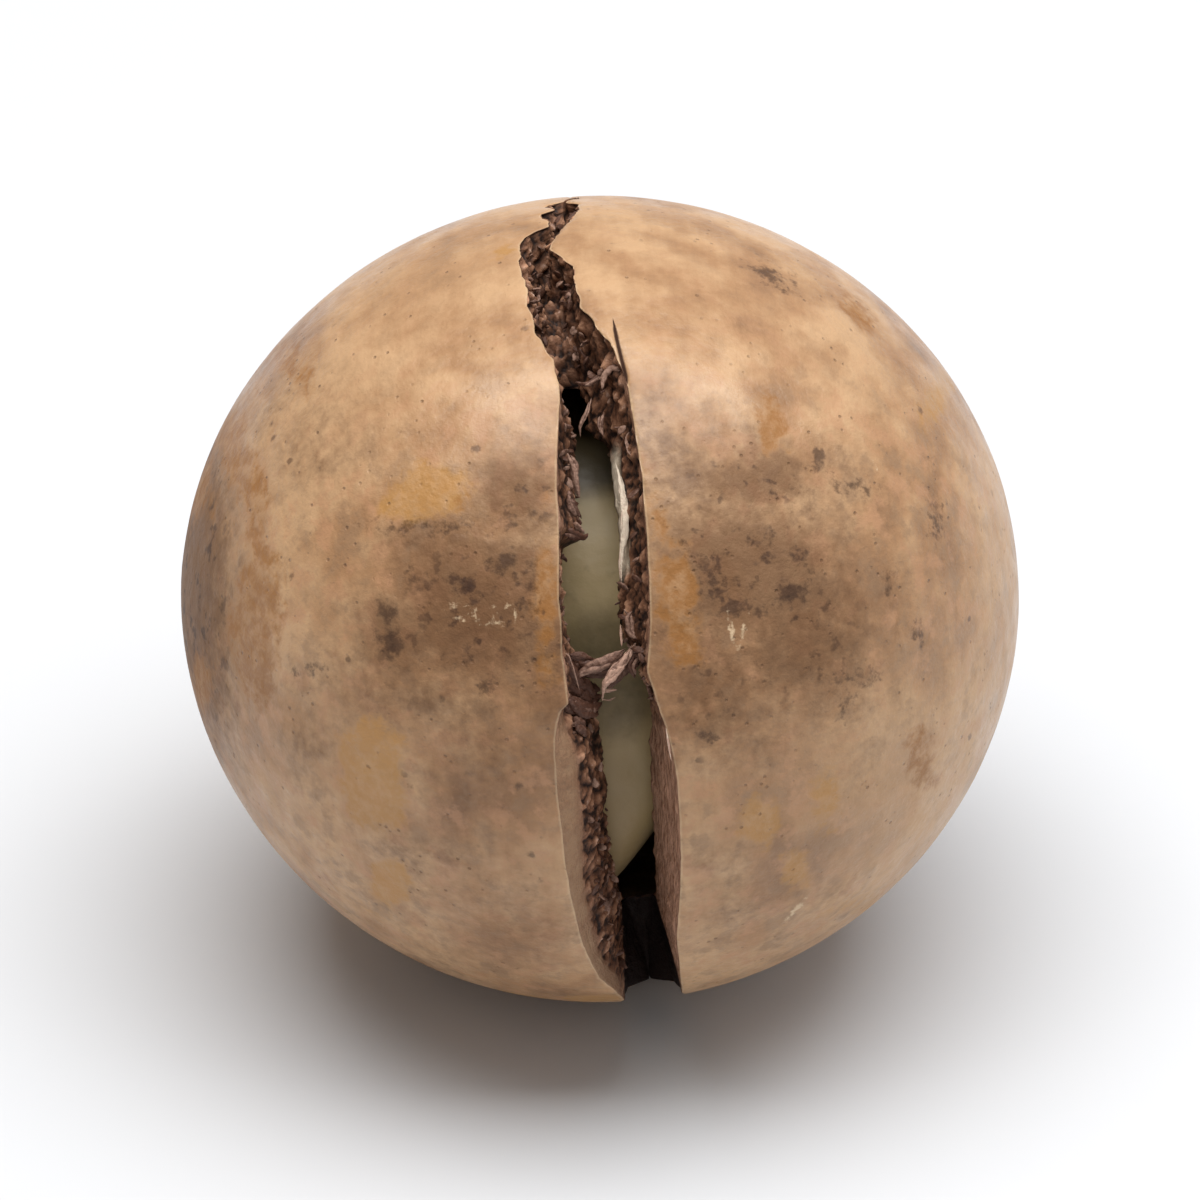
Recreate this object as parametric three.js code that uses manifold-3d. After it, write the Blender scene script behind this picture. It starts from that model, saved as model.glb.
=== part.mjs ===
// A macadamia nut in its shell: a round woody shell with one slit, sawn and then cracked open, and
// the kernel lying loose inside. Millimetres, +Z up. The nut rests on a small flat spot at the
// origin, and its slit faces -Y and runs from over the top to just short of the flat spot.
import * as THREE from "three";
import { mergeVertices } from "three/addons/utils/BufferGeometryUtils.js";
import Module from "manifold-3d";

const wasm = await Module();
wasm.setup();

// Driving dimensions
const WIDTH = 26.6; // across the slit, along X
const DEPTH = 25.5; // front to back, along Y
const HEIGHT = 25.5; // along Z, before the flat spot is taken off
const WALL = 3.0; // thickness of the shell
const REST_RADIUS = 2.2; // of the flat spot
const KERNEL = { width: 17.2, depth: 17.0, height: 16.8 };
const KERNEL_GAP = 0.3; // between the kernel and the shell it lies on

// The slit lies in a plane through the nut's middle. Angles along it are measured from the way it
// faces, which is PITCH above the horizon, and grow upwards; the plane leans by ROLL.
const PITCH = THREE.MathUtils.degToRad(35);
const ROLL = THREE.MathUtils.degToRad(7.5);

// Places along the slit: the angle in degrees, then how far the left and right lips stand from its
// plane, then the same for its two edges on the inside of the shell, then how much of the wall it
// cuts through. Over the top the shell cracked unevenly and only partway, and from 32 degrees down
// both lips are sawn.
const SLIT = [
  [83, 0.84, 0.94, 0.86, 0.92, 0.08],
  [76, 0.12, 0.62, 0.22, 0.5, 0.25],
  [70, -0.36, 0.36, -0.15, 0.2, 0.4],
  [65, -0.92, 0.04, -0.6, -0.2, 0.5],
  [59, -1.19, 0.0, -0.8, -0.3, 0.55],
  [55, -1.0, 0.5, -0.6, 0.05, 0.55],
  [49.5, -1.02, 0.5, -0.55, 0.1, 0.6],
  [44, -0.92, 0.66, -0.4, 0.3, 0.65],
  [40, -0.67, 0.95, -0.3, 0.5, 0.75],
  [36, -0.45, 1.42, -0.25, 0.66, 1],
  [32, -0.48, 1.7, -0.25, 0.8, 1],
  [24, -0.68, 1.78, -0.32, 1.0, 1],
  [8, -1.1, 1.72, -0.95, 0.65, 1],
  [-8, -1.48, 1.56, -1.2, 0.2, 1],
  [-13, -1.65, 1.58, -0.95, 0.6, 1],
  [-18, -1.82, 1.62, -0.45, 1.15, 1],
  [-27, -2.1, 1.7, -0.55, 0.95, 1],
  [-46, -2.08, 1.36, -0.62, 0.67, 1],
  [-58, -1.9, 1.05, -0.6, 0.52, 1],
  [-66, -1.5, 0.98, -0.6, 0.48, 1],
  [-74, -1.04, 0.95, -0.5, 0.4, 1],
  [-84, -0.92, 0.72, -0.45, 0.25, 1],
  [-95, -0.52, 0.4, -0.28, 0.16, 0.8],
  [-106, -0.06, 0.06, -0.04, 0.04, 0.1],
];

// The saw ran on above the right lip as a fine nick.
const NICK = [
  [43, 1.52, 1.58, 1.53, 1.57, 0.15],
  [38, 1.52, 1.7, 1.56, 1.66, 0.4],
  [32, 1.5, 1.84, 1.55, 1.78, 0.4],
];

const SLIT_STEP = 3.2; // most degrees between sections of the slit
const LEVELS = [-0.4, 0, 0.22, 0.45, 0.7, 0.95, 1.25]; // of the sections' points, as shares of the cut
const BREAK_ROUGHNESS = 0.14; // how far the broken faces stand in and out
const FLARE = 0.7; // below 1, the walls of the slit slope more near the skin
const NARROWEST = 0.1; // gap between the slit's walls

// Strands of shell that still cross the slit: the place of each end as angle, offset across the
// slit and depth under the skin, then the strand's radius.
const STRANDS = [
  { from: [-14.5, -1.7, 2.2], to: [-9, 1.5, 2.0], radius: 0.42 },
  { from: [-12, -1.7, 1.7], to: [-13.5, 1.5, 2.5], radius: 0.26 },
  { from: [-4, 1.3, 1.9], to: [-19, -1.1, 1.9], radius: 0.16 },
];

// Broad swells and hollows of the skin: where, as a direction, how high, and how wide in degrees.
const SWELLS = [
  { towards: [-0.55, -0.6, 0.58], height: 0.1, spread: 24 },
  { towards: [0.6, -0.55, 0.58], height: 0.08, spread: 22 },
  { towards: [-0.85, -0.3, -0.42], height: -0.1, spread: 26 },
  { towards: [0.9, 0.1, -0.43], height: -0.08, spread: 28 },
  { towards: [0.3, 0.75, -0.6], height: 0.1, spread: 25 },
  { towards: [-0.7, 0.6, 0.4], height: -0.09, spread: 24 },
];

// The hilum, the rough scar where the nut hung on its stalk, sits in a hollow at the back.
const HILUM = { angle: 136, across: -1.6, width: 3.3, length: 4.1, rise: 0.35, sunk: 0.8 };
const HILUM_HOLLOW = { height: -0.22, spread: 21 };

// The kernel is flattened on its lower right, where its base is.
const KERNEL_BASE = { right: 0.81, rise: -0.585, distance: 5.15, softness: 0.4 };

const SKIN_DETAIL = 14; // subdivisions of an icosahedron's edges
const CAVITY_DETAIL = 7;
const KERNEL_DETAIL = 9;
const SHORTEST_EDGE = 0.01; // smaller slips of surface left by the cuts are closed up
const FIRST_DRAW = 7; // seeds every random draw

const restDepth = HEIGHT / 2 - Math.sqrt((HEIGHT / 2) ** 2 - REST_RADIUS ** 2);
const centre = new THREE.Vector3(0, 0, HEIGHT / 2 - restDepth);
const facing = new THREE.Vector3(0, -Math.cos(PITCH), Math.sin(PITCH));
const upright = new THREE.Vector3(0, Math.sin(PITCH), Math.cos(PITCH));
const rising = upright.clone().applyAxisAngle(facing, ROLL);
const across = new THREE.Vector3().crossVectors(rising, facing);
const random = seeded(FIRST_DRAW);

// A generator of numbers from 0 to 1 that repeats for the same seed.
function seeded(seed) {
  let state = seed;
  return () => {
    state = (state + 0x6d2b79f5) | 0;
    let mixed = Math.imul(state ^ (state >>> 15), 1 | state);
    mixed = (mixed + Math.imul(mixed ^ (mixed >>> 7), 61 | mixed)) ^ mixed;
    return ((mixed ^ (mixed >>> 14)) >>> 0) / 2 ** 32;
  };
}

// A geometry whose faces share their corners.
function welded(geometry) {
  const bare = geometry.clone();
  bare.deleteAttribute("normal");
  bare.deleteAttribute("uv");
  return mergeVertices(bare, 1e-4);
}

// A closed geometry as a solid that can be cut and joined.
function toSolid(geometry) {
  const closed = welded(geometry);
  const vertProperties = closed.attributes.position.array;
  const triVerts = new Uint32Array(closed.index.array);
  return new wasm.Manifold(new wasm.Mesh({ numProp: 3, vertProperties, triVerts }));
}

// A solid as a geometry with flat-shaded faces.
function toGeometry(solid) {
  const { vertProperties, triVerts } = solid.simplify(SHORTEST_EDGE).getMesh();
  const geometry = new THREE.BufferGeometry();
  geometry.setAttribute("position", new THREE.BufferAttribute(vertProperties, 3));
  geometry.setIndex(new THREE.BufferAttribute(triVerts, 1));
  const faceted = geometry.toNonIndexed();
  faceted.computeVertexNormals();
  return faceted;
}

// The distance from the middle to an ellipsoid with these half-sizes, along a direction.
function ellipsoidRadius(direction, x, y, z) {
  return 1 / Math.hypot(direction.x / x, direction.y / y, direction.z / z);
}

// A direction from the middle: an angle along the slit, and a distance across it on the skin.
function slitDirection(degrees, offset) {
  const angle = THREE.MathUtils.degToRad(degrees);
  const sideways = Math.asin(offset / (DEPTH / 2));
  return new THREE.Vector3()
    .addScaledVector(facing, Math.cos(angle) * Math.cos(sideways))
    .addScaledVector(rising, Math.sin(angle) * Math.cos(sideways))
    .addScaledVector(across, Math.sin(sideways));
}

const hilumDirection = slitDirection(HILUM.angle, HILUM.across);
const swells = [
  ...SWELLS.map((s) => ({ ...s, axis: new THREE.Vector3(...s.towards).normalize() })),
  { ...HILUM_HOLLOW, axis: hilumDirection },
];

// The distance from the middle to the skin along a direction.
function skinRadius(direction) {
  const plain = ellipsoidRadius(direction, WIDTH / 2, DEPTH / 2, HEIGHT / 2);
  return swells.reduce((radius, swell) => {
    const away = THREE.MathUtils.radToDeg(direction.angleTo(swell.axis)) / swell.spread;
    return radius + swell.height * Math.exp(-away * away);
  }, plain);
}

// A point in or near the slit, at a depth under the skin.
function slitPoint(degrees, offset, depth) {
  const direction = slitDirection(degrees, offset);
  return direction.multiplyScalar(skinRadius(direction) - depth).add(centre);
}

// A ball of triangles whose corners are moved out to a radius that depends on their direction.
function shapedBall(detail, radiusAlong, middle) {
  const ball = new THREE.IcosahedronGeometry(1, detail);
  const corners = ball.attributes.position;
  const corner = new THREE.Vector3();
  for (let i = 0; i < corners.count; i++) {
    corner.fromBufferAttribute(corners, i).normalize();
    corner.multiplyScalar(radiusAlong(corner)).add(middle);
    corners.setXYZ(i, corner.x, corner.y, corner.z);
  }
  return toSolid(ball);
}

// A closed skin over a row of rings that all have the same number of points.
function loft(rings) {
  const sides = rings[0].length;
  const positions = rings.flat().flatMap((p) => [p.x, p.y, p.z]);
  const faces = [];
  for (let ring = 0; ring < rings.length - 1; ring++) {
    for (let side = 0; side < sides; side++) {
      const a = ring * sides + side;
      const b = ring * sides + ((side + 1) % sides);
      faces.push(a, b, b + sides, a, b + sides, a + sides);
    }
  }
  const last = (rings.length - 1) * sides;
  for (let side = 1; side < sides - 1; side++) {
    faces.push(0, side + 1, side, last, last + side, last + side + 1);
  }
  const geometry = new THREE.BufferGeometry();
  geometry.setAttribute("position", new THREE.Float32BufferAttribute(positions, 3));
  geometry.setIndex(faces);
  return toSolid(geometry);
}

// The places of a list, with more between them so that none are far apart.
function closelySpaced(places) {
  const spaced = [places[0]];
  for (let i = 1; i < places.length; i++) {
    const [before, after] = [places[i - 1], places[i]];
    const parts = Math.ceil((before[0] - after[0]) / SLIT_STEP);
    for (let part = 1; part <= parts; part++) {
      spaced.push(before.map((x, k) => THREE.MathUtils.lerp(x, after[k], part / parts)));
    }
  }
  return spaced;
}

// The solid that a slit removes: one ring of points across it at each place along it.
function slitCutter(places, roughness) {
  const rings = closelySpaced(places).map(([degrees, left, right, deepLeft, deepRight, cut]) => {
    const rough = cut === 1 ? roughness : roughness * 0.5;
    const pairs = LEVELS.map((level) => {
      const share = THREE.MathUtils.clamp(level, 0, 1) ** FLARE;
      const stray = level > 0.3 ? rough : 0;
      const from = THREE.MathUtils.lerp(left, deepLeft, share) + stray * (2 * random() - 1);
      const to = THREE.MathUtils.lerp(right, deepRight, share) + stray * (2 * random() - 1);
      const middle = (from + to) / 2;
      const half = Math.max(to - from, NARROWEST) / 2;
      const depth = WALL * (level > 0 ? level * cut : level);
      return [slitPoint(degrees, middle - half, depth), slitPoint(degrees, middle + half, depth)];
    });
    return [...pairs.map((pair) => pair[0]), ...pairs.map((pair) => pair[1]).reverse()];
  });
  return loft(rings);
}

// One strand of shell between two places in the slit, thinner in the middle and a little ragged.
function strand({ from, to, radius }) {
  const start = slitPoint(...from);
  const end = slitPoint(...to);
  const along = end.clone().sub(start);
  const bar = welded(new THREE.CylinderGeometry(radius, radius, along.length(), 6, 6));
  const corners = bar.attributes.position;
  for (let i = 0; i < corners.count; i++) {
    const waist = 0.6 + 1.6 * (corners.getY(i) / along.length()) ** 2;
    const width = waist * THREE.MathUtils.lerp(0.7, 1.3, random());
    corners.setX(i, corners.getX(i) * width);
    corners.setZ(i, corners.getZ(i) * width);
  }
  const turn = new THREE.Quaternion();
  turn.setFromUnitVectors(new THREE.Vector3(0, 1, 0), along.normalize());
  bar.applyQuaternion(turn);
  bar.translate(...start.add(end).multiplyScalar(0.5).toArray());
  return toSolid(bar);
}

// The hilum's scar: a low oval plug with a crumbly top, sunk into the skin.
function hilumScar() {
  const height = HILUM.rise + HILUM.sunk;
  const plug = welded(new THREE.CylinderGeometry(0.46, 0.56, 1, 18, 3));
  const corners = plug.attributes.position;
  for (let i = 0; i < corners.count; i++) {
    if (corners.getY(i) < 0.4) continue;
    const towardsRim = Math.hypot(corners.getX(i), corners.getZ(i)) / 0.46;
    corners.setY(i, corners.getY(i) - (0.12 * towardsRim + 0.1 * random()) / height);
  }
  const lengthwise = new THREE.Vector3().crossVectors(across, hilumDirection).normalize();
  const widthwise = new THREE.Vector3().crossVectors(hilumDirection, lengthwise);
  const place = new THREE.Matrix4().makeBasis(
    widthwise.multiplyScalar(HILUM.width),
    hilumDirection.clone().multiplyScalar(height),
    lengthwise.multiplyScalar(HILUM.length),
  );
  const middle = skinRadius(hilumDirection) + HILUM.rise - height / 2;
  place.setPosition(hilumDirection.clone().multiplyScalar(middle).add(centre));
  plug.applyMatrix4(place);
  return toSolid(plug);
}

// The ground below the flat spot.
function ground() {
  const slab = new THREE.BoxGeometry(WIDTH, DEPTH, 4);
  slab.translate(0, 0, -2);
  return toSolid(slab);
}

// The shell: the skin's form, hollowed, slit, scarred and flattened where it rests.
function shellSolid() {
  const skin = shapedBall(SKIN_DETAIL, skinRadius, centre);
  const hollow = shapedBall(
    CAVITY_DETAIL,
    (d) => ellipsoidRadius(d, WIDTH / 2 - WALL, DEPTH / 2 - WALL, HEIGHT / 2 - WALL),
    centre,
  );
  const slit = slitCutter(SLIT, BREAK_ROUGHNESS);
  const nick = slitCutter(NICK, 0);
  const strands = STRANDS.map(strand).reduce((all, one) => all.add(one));
  return skin
    .add(hilumScar())
    .subtract(hollow)
    .subtract(slit)
    .subtract(nick)
    .add(strands)
    .subtract(ground());
}

// The kernel: a slightly flattened ball with a softly cut base, lying on the shell's floor.
function kernelSolid() {
  const drop = HEIGHT / 2 - WALL - KERNEL.height / 2 - KERNEL_GAP;
  const middle = centre.clone().add(new THREE.Vector3(0, 0, -drop));
  const base = new THREE.Vector3(1, 0, 0)
    .multiplyScalar(KERNEL_BASE.right)
    .addScaledVector(upright, KERNEL_BASE.rise)
    .normalize();
  const radiusAlong = (direction) => {
    const plain = ellipsoidRadius(direction, KERNEL.width / 2, KERNEL.depth / 2, KERNEL.height / 2);
    const towardsBase = direction.dot(base);
    if (towardsBase <= 0) return plain;
    const flat = KERNEL_BASE.distance / towardsBase;
    const { softness } = KERNEL_BASE;
    return -softness * Math.log(Math.exp(-plain / softness) + Math.exp(-flat / softness));
  };
  return shapedBall(KERNEL_DETAIL, radiusAlong, middle);
}

function named(name, solid, material) {
  const mesh = new THREE.Mesh(toGeometry(solid), material);
  mesh.name = name;
  return mesh;
}

const nut = new THREE.Group();
nut.add(
  named(
    "shell",
    shellSolid(),
    new THREE.MeshStandardMaterial({ color: 0xab8360, roughness: 0.42, metalness: 0 }),
  ),
  named(
    "kernel",
    kernelSolid(),
    new THREE.MeshStandardMaterial({ color: 0xb3a883, roughness: 0.5, metalness: 0 }),
  ),
);

export default nut;
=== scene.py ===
"""The looks of a macadamia nut in its shell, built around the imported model.

The shell is one closed mesh laid out along the slit, so that the lips, the broken walls and the
skin each follow their own lines. Sizes are in millimetres until a mesh is made, with +Z up and the
flat spot that the nut rests on at the origin.
"""

import logging
import math
from dataclasses import dataclass, field
from enum import Enum
from typing import Callable, Optional, Sequence, Union

import bmesh
import bpy
import numpy as np
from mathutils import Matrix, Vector


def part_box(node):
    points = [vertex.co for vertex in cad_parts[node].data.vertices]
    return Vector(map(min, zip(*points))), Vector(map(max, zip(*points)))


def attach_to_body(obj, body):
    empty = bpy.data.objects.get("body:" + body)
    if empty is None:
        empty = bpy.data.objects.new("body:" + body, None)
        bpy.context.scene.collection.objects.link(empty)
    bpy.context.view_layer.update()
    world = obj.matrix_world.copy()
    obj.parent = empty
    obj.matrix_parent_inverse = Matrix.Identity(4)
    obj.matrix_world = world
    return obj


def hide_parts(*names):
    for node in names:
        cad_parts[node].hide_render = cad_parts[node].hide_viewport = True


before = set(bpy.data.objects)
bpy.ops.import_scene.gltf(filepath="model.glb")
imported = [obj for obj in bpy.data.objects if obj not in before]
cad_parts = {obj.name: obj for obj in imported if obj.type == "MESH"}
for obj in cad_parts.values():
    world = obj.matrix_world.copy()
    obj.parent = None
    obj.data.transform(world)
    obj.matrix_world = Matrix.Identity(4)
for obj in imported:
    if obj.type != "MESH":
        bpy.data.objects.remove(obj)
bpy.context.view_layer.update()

MM = 0.001
LOG = logging.getLogger("macadamia")

Array = np.ndarray
Socket = bpy.types.NodeSocket
Colour = tuple[float, float, float]
Feed = Union[Socket, float]
Places = tuple[tuple[float, float], ...]


class Side(Enum):
    """The two sides of the slit, with the sign of the way across it."""

    LEFT = -1
    RIGHT = 1


class Zone(Enum):
    """The surfaces of the shell, in the order of its material slots."""

    SKIN = 0
    BREAK = 1
    LINING = 2


class MarkKind(Enum):
    """The kinds of mark on the skin, named as the mesh attributes that carry them."""

    STAIN = "stain"
    BLOND = "blond"
    SHADE = "shade"
    LIGHT = "light"
    SPECK = "speck"
    STROKE = "stroke"


def ease(value: Array, low: float, high: float) -> Array:
    """Rises smoothly from 0 to 1.

    Args:
        value: What to ease.
        low: Where the result is 0.
        high: Where the result is 1; it may be below low.

    Returns:
        The eased values.
    """
    share = np.clip((np.asarray(value, dtype=float) - low) / (high - low), 0.0, 1.0)
    return share * share * (3.0 - 2.0 * share)


def along(places: Places, position: Array) -> Array:
    """Reads a list of places.

    Args:
        places: Pairs of position and value, with the positions falling.
        position: Where to read.

    Returns:
        The values between the places.
    """
    table = np.array(places)[::-1]
    return np.interp(position, table[:, 0], table[:, 1])


def unit(vectors: Array) -> Array:
    """Scales vectors to length 1."""
    return vectors / np.linalg.norm(vectors, axis=-1, keepdims=True)


class Grit:
    """Repeatable roughness in three dimensions."""

    def __init__(self, seed: int) -> None:
        """Draws the tables.

        Args:
            seed: Picks the pattern.
        """
        draw = np.random.default_rng(seed)
        self.order = draw.permutation(512)
        self.slopes = unit(draw.normal(size=(512, 3)))
        self.spots = draw.random((512, 3))

    def _pick(self, cells: Array) -> Array:
        """Gives each whole-numbered cell a place in the tables."""
        x, y, z = (cells[..., k].astype(np.int64) for k in range(3))
        return self.order[(self.order[(self.order[x % 512] + y) % 512] + z) % 512]

    def smooth(self, points: Array) -> Array:
        """Gives smooth noise.

        Args:
            points: Places, in units of the noise's own size.

        Returns:
            Values between about -1 and 1.
        """
        cell = np.floor(points)
        inside = points - cell
        weight = inside**3 * (inside * (inside * 6 - 15) + 10)
        total = np.zeros(len(points))
        for corner in np.ndindex(2, 2, 2):
            step = np.array(corner)
            slope = self.slopes[self._pick(cell + step)]
            share = np.prod(np.where(step, weight, 1 - weight), axis=1)
            total += share * np.sum(slope * (inside - step), axis=1)
        return total * 1.6

    def layered(self, points: Array, size: float, layers: int = 3) -> Array:
        """Adds finer and finer smooth noise.

        Args:
            points: Places in millimetres.
            size: Size of the broadest features.
            layers: How many times the noise halves its size.

        Returns:
            Values between about -1 and 1.
        """
        total = np.zeros(len(points))
        for layer in range(layers):
            total += self.smooth(points / size * 2**layer + 17.3 * layer) / 2**layer
        return total / (2 - 2 ** (1 - layers))

    def crumbs(self, points: Array, size: float) -> Array:
        """Gives rounded grains with creases between them.

        Args:
            points: Places in millimetres.
            size: Size of a grain.

        Returns:
            1 at the middle of a grain, falling to 0 in the creases.
        """
        scaled = points / size
        cell = np.floor(scaled)
        nearest = np.full(len(points), 9.0)
        second = np.full(len(points), 9.0)
        for corner in np.ndindex(3, 3, 3):
            other = cell + np.array(corner) - 1
            gap = np.linalg.norm(other + self.spots[self._pick(other)] - scaled, axis=1)
            second = np.minimum(second, np.maximum(gap, nearest))
            nearest = np.minimum(nearest, gap)
        return np.clip((second - nearest) * 1.4, 0.0, 1.0)


@dataclass(frozen=True)
class Swell:
    """A broad swell or hollow of the skin."""

    towards: tuple[float, float, float]
    height: float
    spread: float


@dataclass(frozen=True)
class NutForm:
    """The nut's plain form and the way that places on it are named.

    A place is an angle along the slit, in degrees from the way that the slit faces and growing
    upwards, and a distance across it, in millimetres on the skin, growing to the right.
    """

    width: float = 26.6
    depth: float = 25.5
    height: float = 25.5
    wall: float = 3.0
    rest_radius: float = 2.2
    pitch: float = math.radians(35)
    roll: float = math.radians(7.5)
    hilum_angle: float = 136.0
    hilum_across: float = -1.6
    swells: tuple[Swell, ...] = (
        Swell((-0.55, -0.6, 0.58), 0.1, 24),
        Swell((0.6, -0.55, 0.58), 0.08, 22),
        Swell((-0.85, -0.3, -0.42), -0.1, 26),
        Swell((0.9, 0.1, -0.43), -0.08, 28),
        Swell((0.3, 0.75, -0.6), 0.1, 25),
        Swell((-0.7, 0.6, 0.4), -0.09, 24),
    )
    hollow_height: float = -0.22
    hollow_spread: float = 21.0

    @property
    def radius(self) -> float:
        """The distance from the middle to the skin in the plane of the slit."""
        return self.depth / 2

    @property
    def centre(self) -> Array:
        """The middle of the nut."""
        rise = math.sqrt((self.height / 2) ** 2 - self.rest_radius**2)
        return np.array([0.0, 0.0, rise])

    @property
    def facing(self) -> Array:
        """The way that the slit faces."""
        return np.array([0.0, -math.cos(self.pitch), math.sin(self.pitch)])

    @property
    def upright(self) -> Array:
        """Upwards, square to the way that the slit faces."""
        return np.array([0.0, math.sin(self.pitch), math.cos(self.pitch)])

    @property
    def sideways(self) -> Array:
        """To the right, as seen looking at the slit."""
        return np.array([1.0, 0.0, 0.0])

    @property
    def rising(self) -> Array:
        """Upwards along the slit, which leans."""
        return -math.sin(self.roll) * self.sideways + math.cos(self.roll) * self.upright

    @property
    def across(self) -> Array:
        """To the right, square to the slit."""
        return math.cos(self.roll) * self.sideways + math.sin(self.roll) * self.upright

    def direction(self, angle: Array, turn: Array) -> Array:
        """Points from the middle to places on the nut.

        Args:
            angle: Angles along the slit, in degrees.
            turn: Angles away from the slit's plane, in degrees.

        Returns:
            Unit vectors.
        """
        a, w = np.radians(angle)[..., None], np.radians(turn)[..., None]
        flat = np.cos(a) * self.facing + np.sin(a) * self.rising
        return np.cos(w) * flat + np.sin(w) * self.across

    def turn_of(self, offset: Array) -> Array:
        """Turns distances across the slit into degrees."""
        return np.degrees(np.arcsin(np.asarray(offset) / self.radius))

    @property
    def hilum(self) -> Array:
        """The way from the middle to the hilum."""
        turn = self.turn_of(np.array(self.hilum_across))
        return self.direction(np.array(self.hilum_angle), turn)

    def _ellipsoid(self, direction: Array, less: float) -> Array:
        """Measures an ellipsoid that is smaller than the nut by some wall thickness."""
        half = np.array([self.width, self.depth, self.height]) / 2 - less
        return 1 / np.linalg.norm(direction / half, axis=-1)

    def skin(self, direction: Array) -> Array:
        """Measures from the middle to the skin.

        Args:
            direction: Unit vectors.

        Returns:
            Distances in millimetres.
        """
        radius = self._ellipsoid(direction, 0.0)
        bumps = [(unit(np.array(s.towards)), s.height, s.spread) for s in self.swells]
        bumps.append((self.hilum, self.hollow_height, self.hollow_spread))
        for axis, height, spread in bumps:
            away = np.degrees(np.arccos(np.clip(direction @ axis, -1, 1))) / spread
            radius = radius + height * np.exp(-away * away)
        return radius

    def cavity(self, direction: Array) -> Array:
        """Measures from the middle to the inside of the shell."""
        return self._ellipsoid(direction, self.wall)

    def seen(self, right: Array, up: Array, depth: Array) -> Array:
        """Finds points by where they are seen by someone who looks straight at the slit.

        Args:
            right: Millimetres to the right of the middle.
            up: Millimetres above it.
            depth: Depths under the skin.

        Returns:
            Points in millimetres.
        """
        flat = np.multiply.outer(right, self.sideways) + np.multiply.outer(up, self.upright)
        near = np.sqrt(np.maximum((self.radius - depth) ** 2 - right**2 - up**2, 0.1))
        return self.centre + flat + near[:, None] * self.facing

    def place(self, angle: Array, offset: Array, depth: Array) -> Array:
        """Finds points under the skin, in or near the slit.

        Args:
            angle: Angles along the slit, in degrees.
            offset: Distances across it.
            depth: Depths under the skin.

        Returns:
            Points in millimetres.
        """
        way = self.direction(np.asarray(angle, float), self.turn_of(np.asarray(offset, float)))
        return self.centre + way * (self.skin(way) - depth)[..., None]


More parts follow.
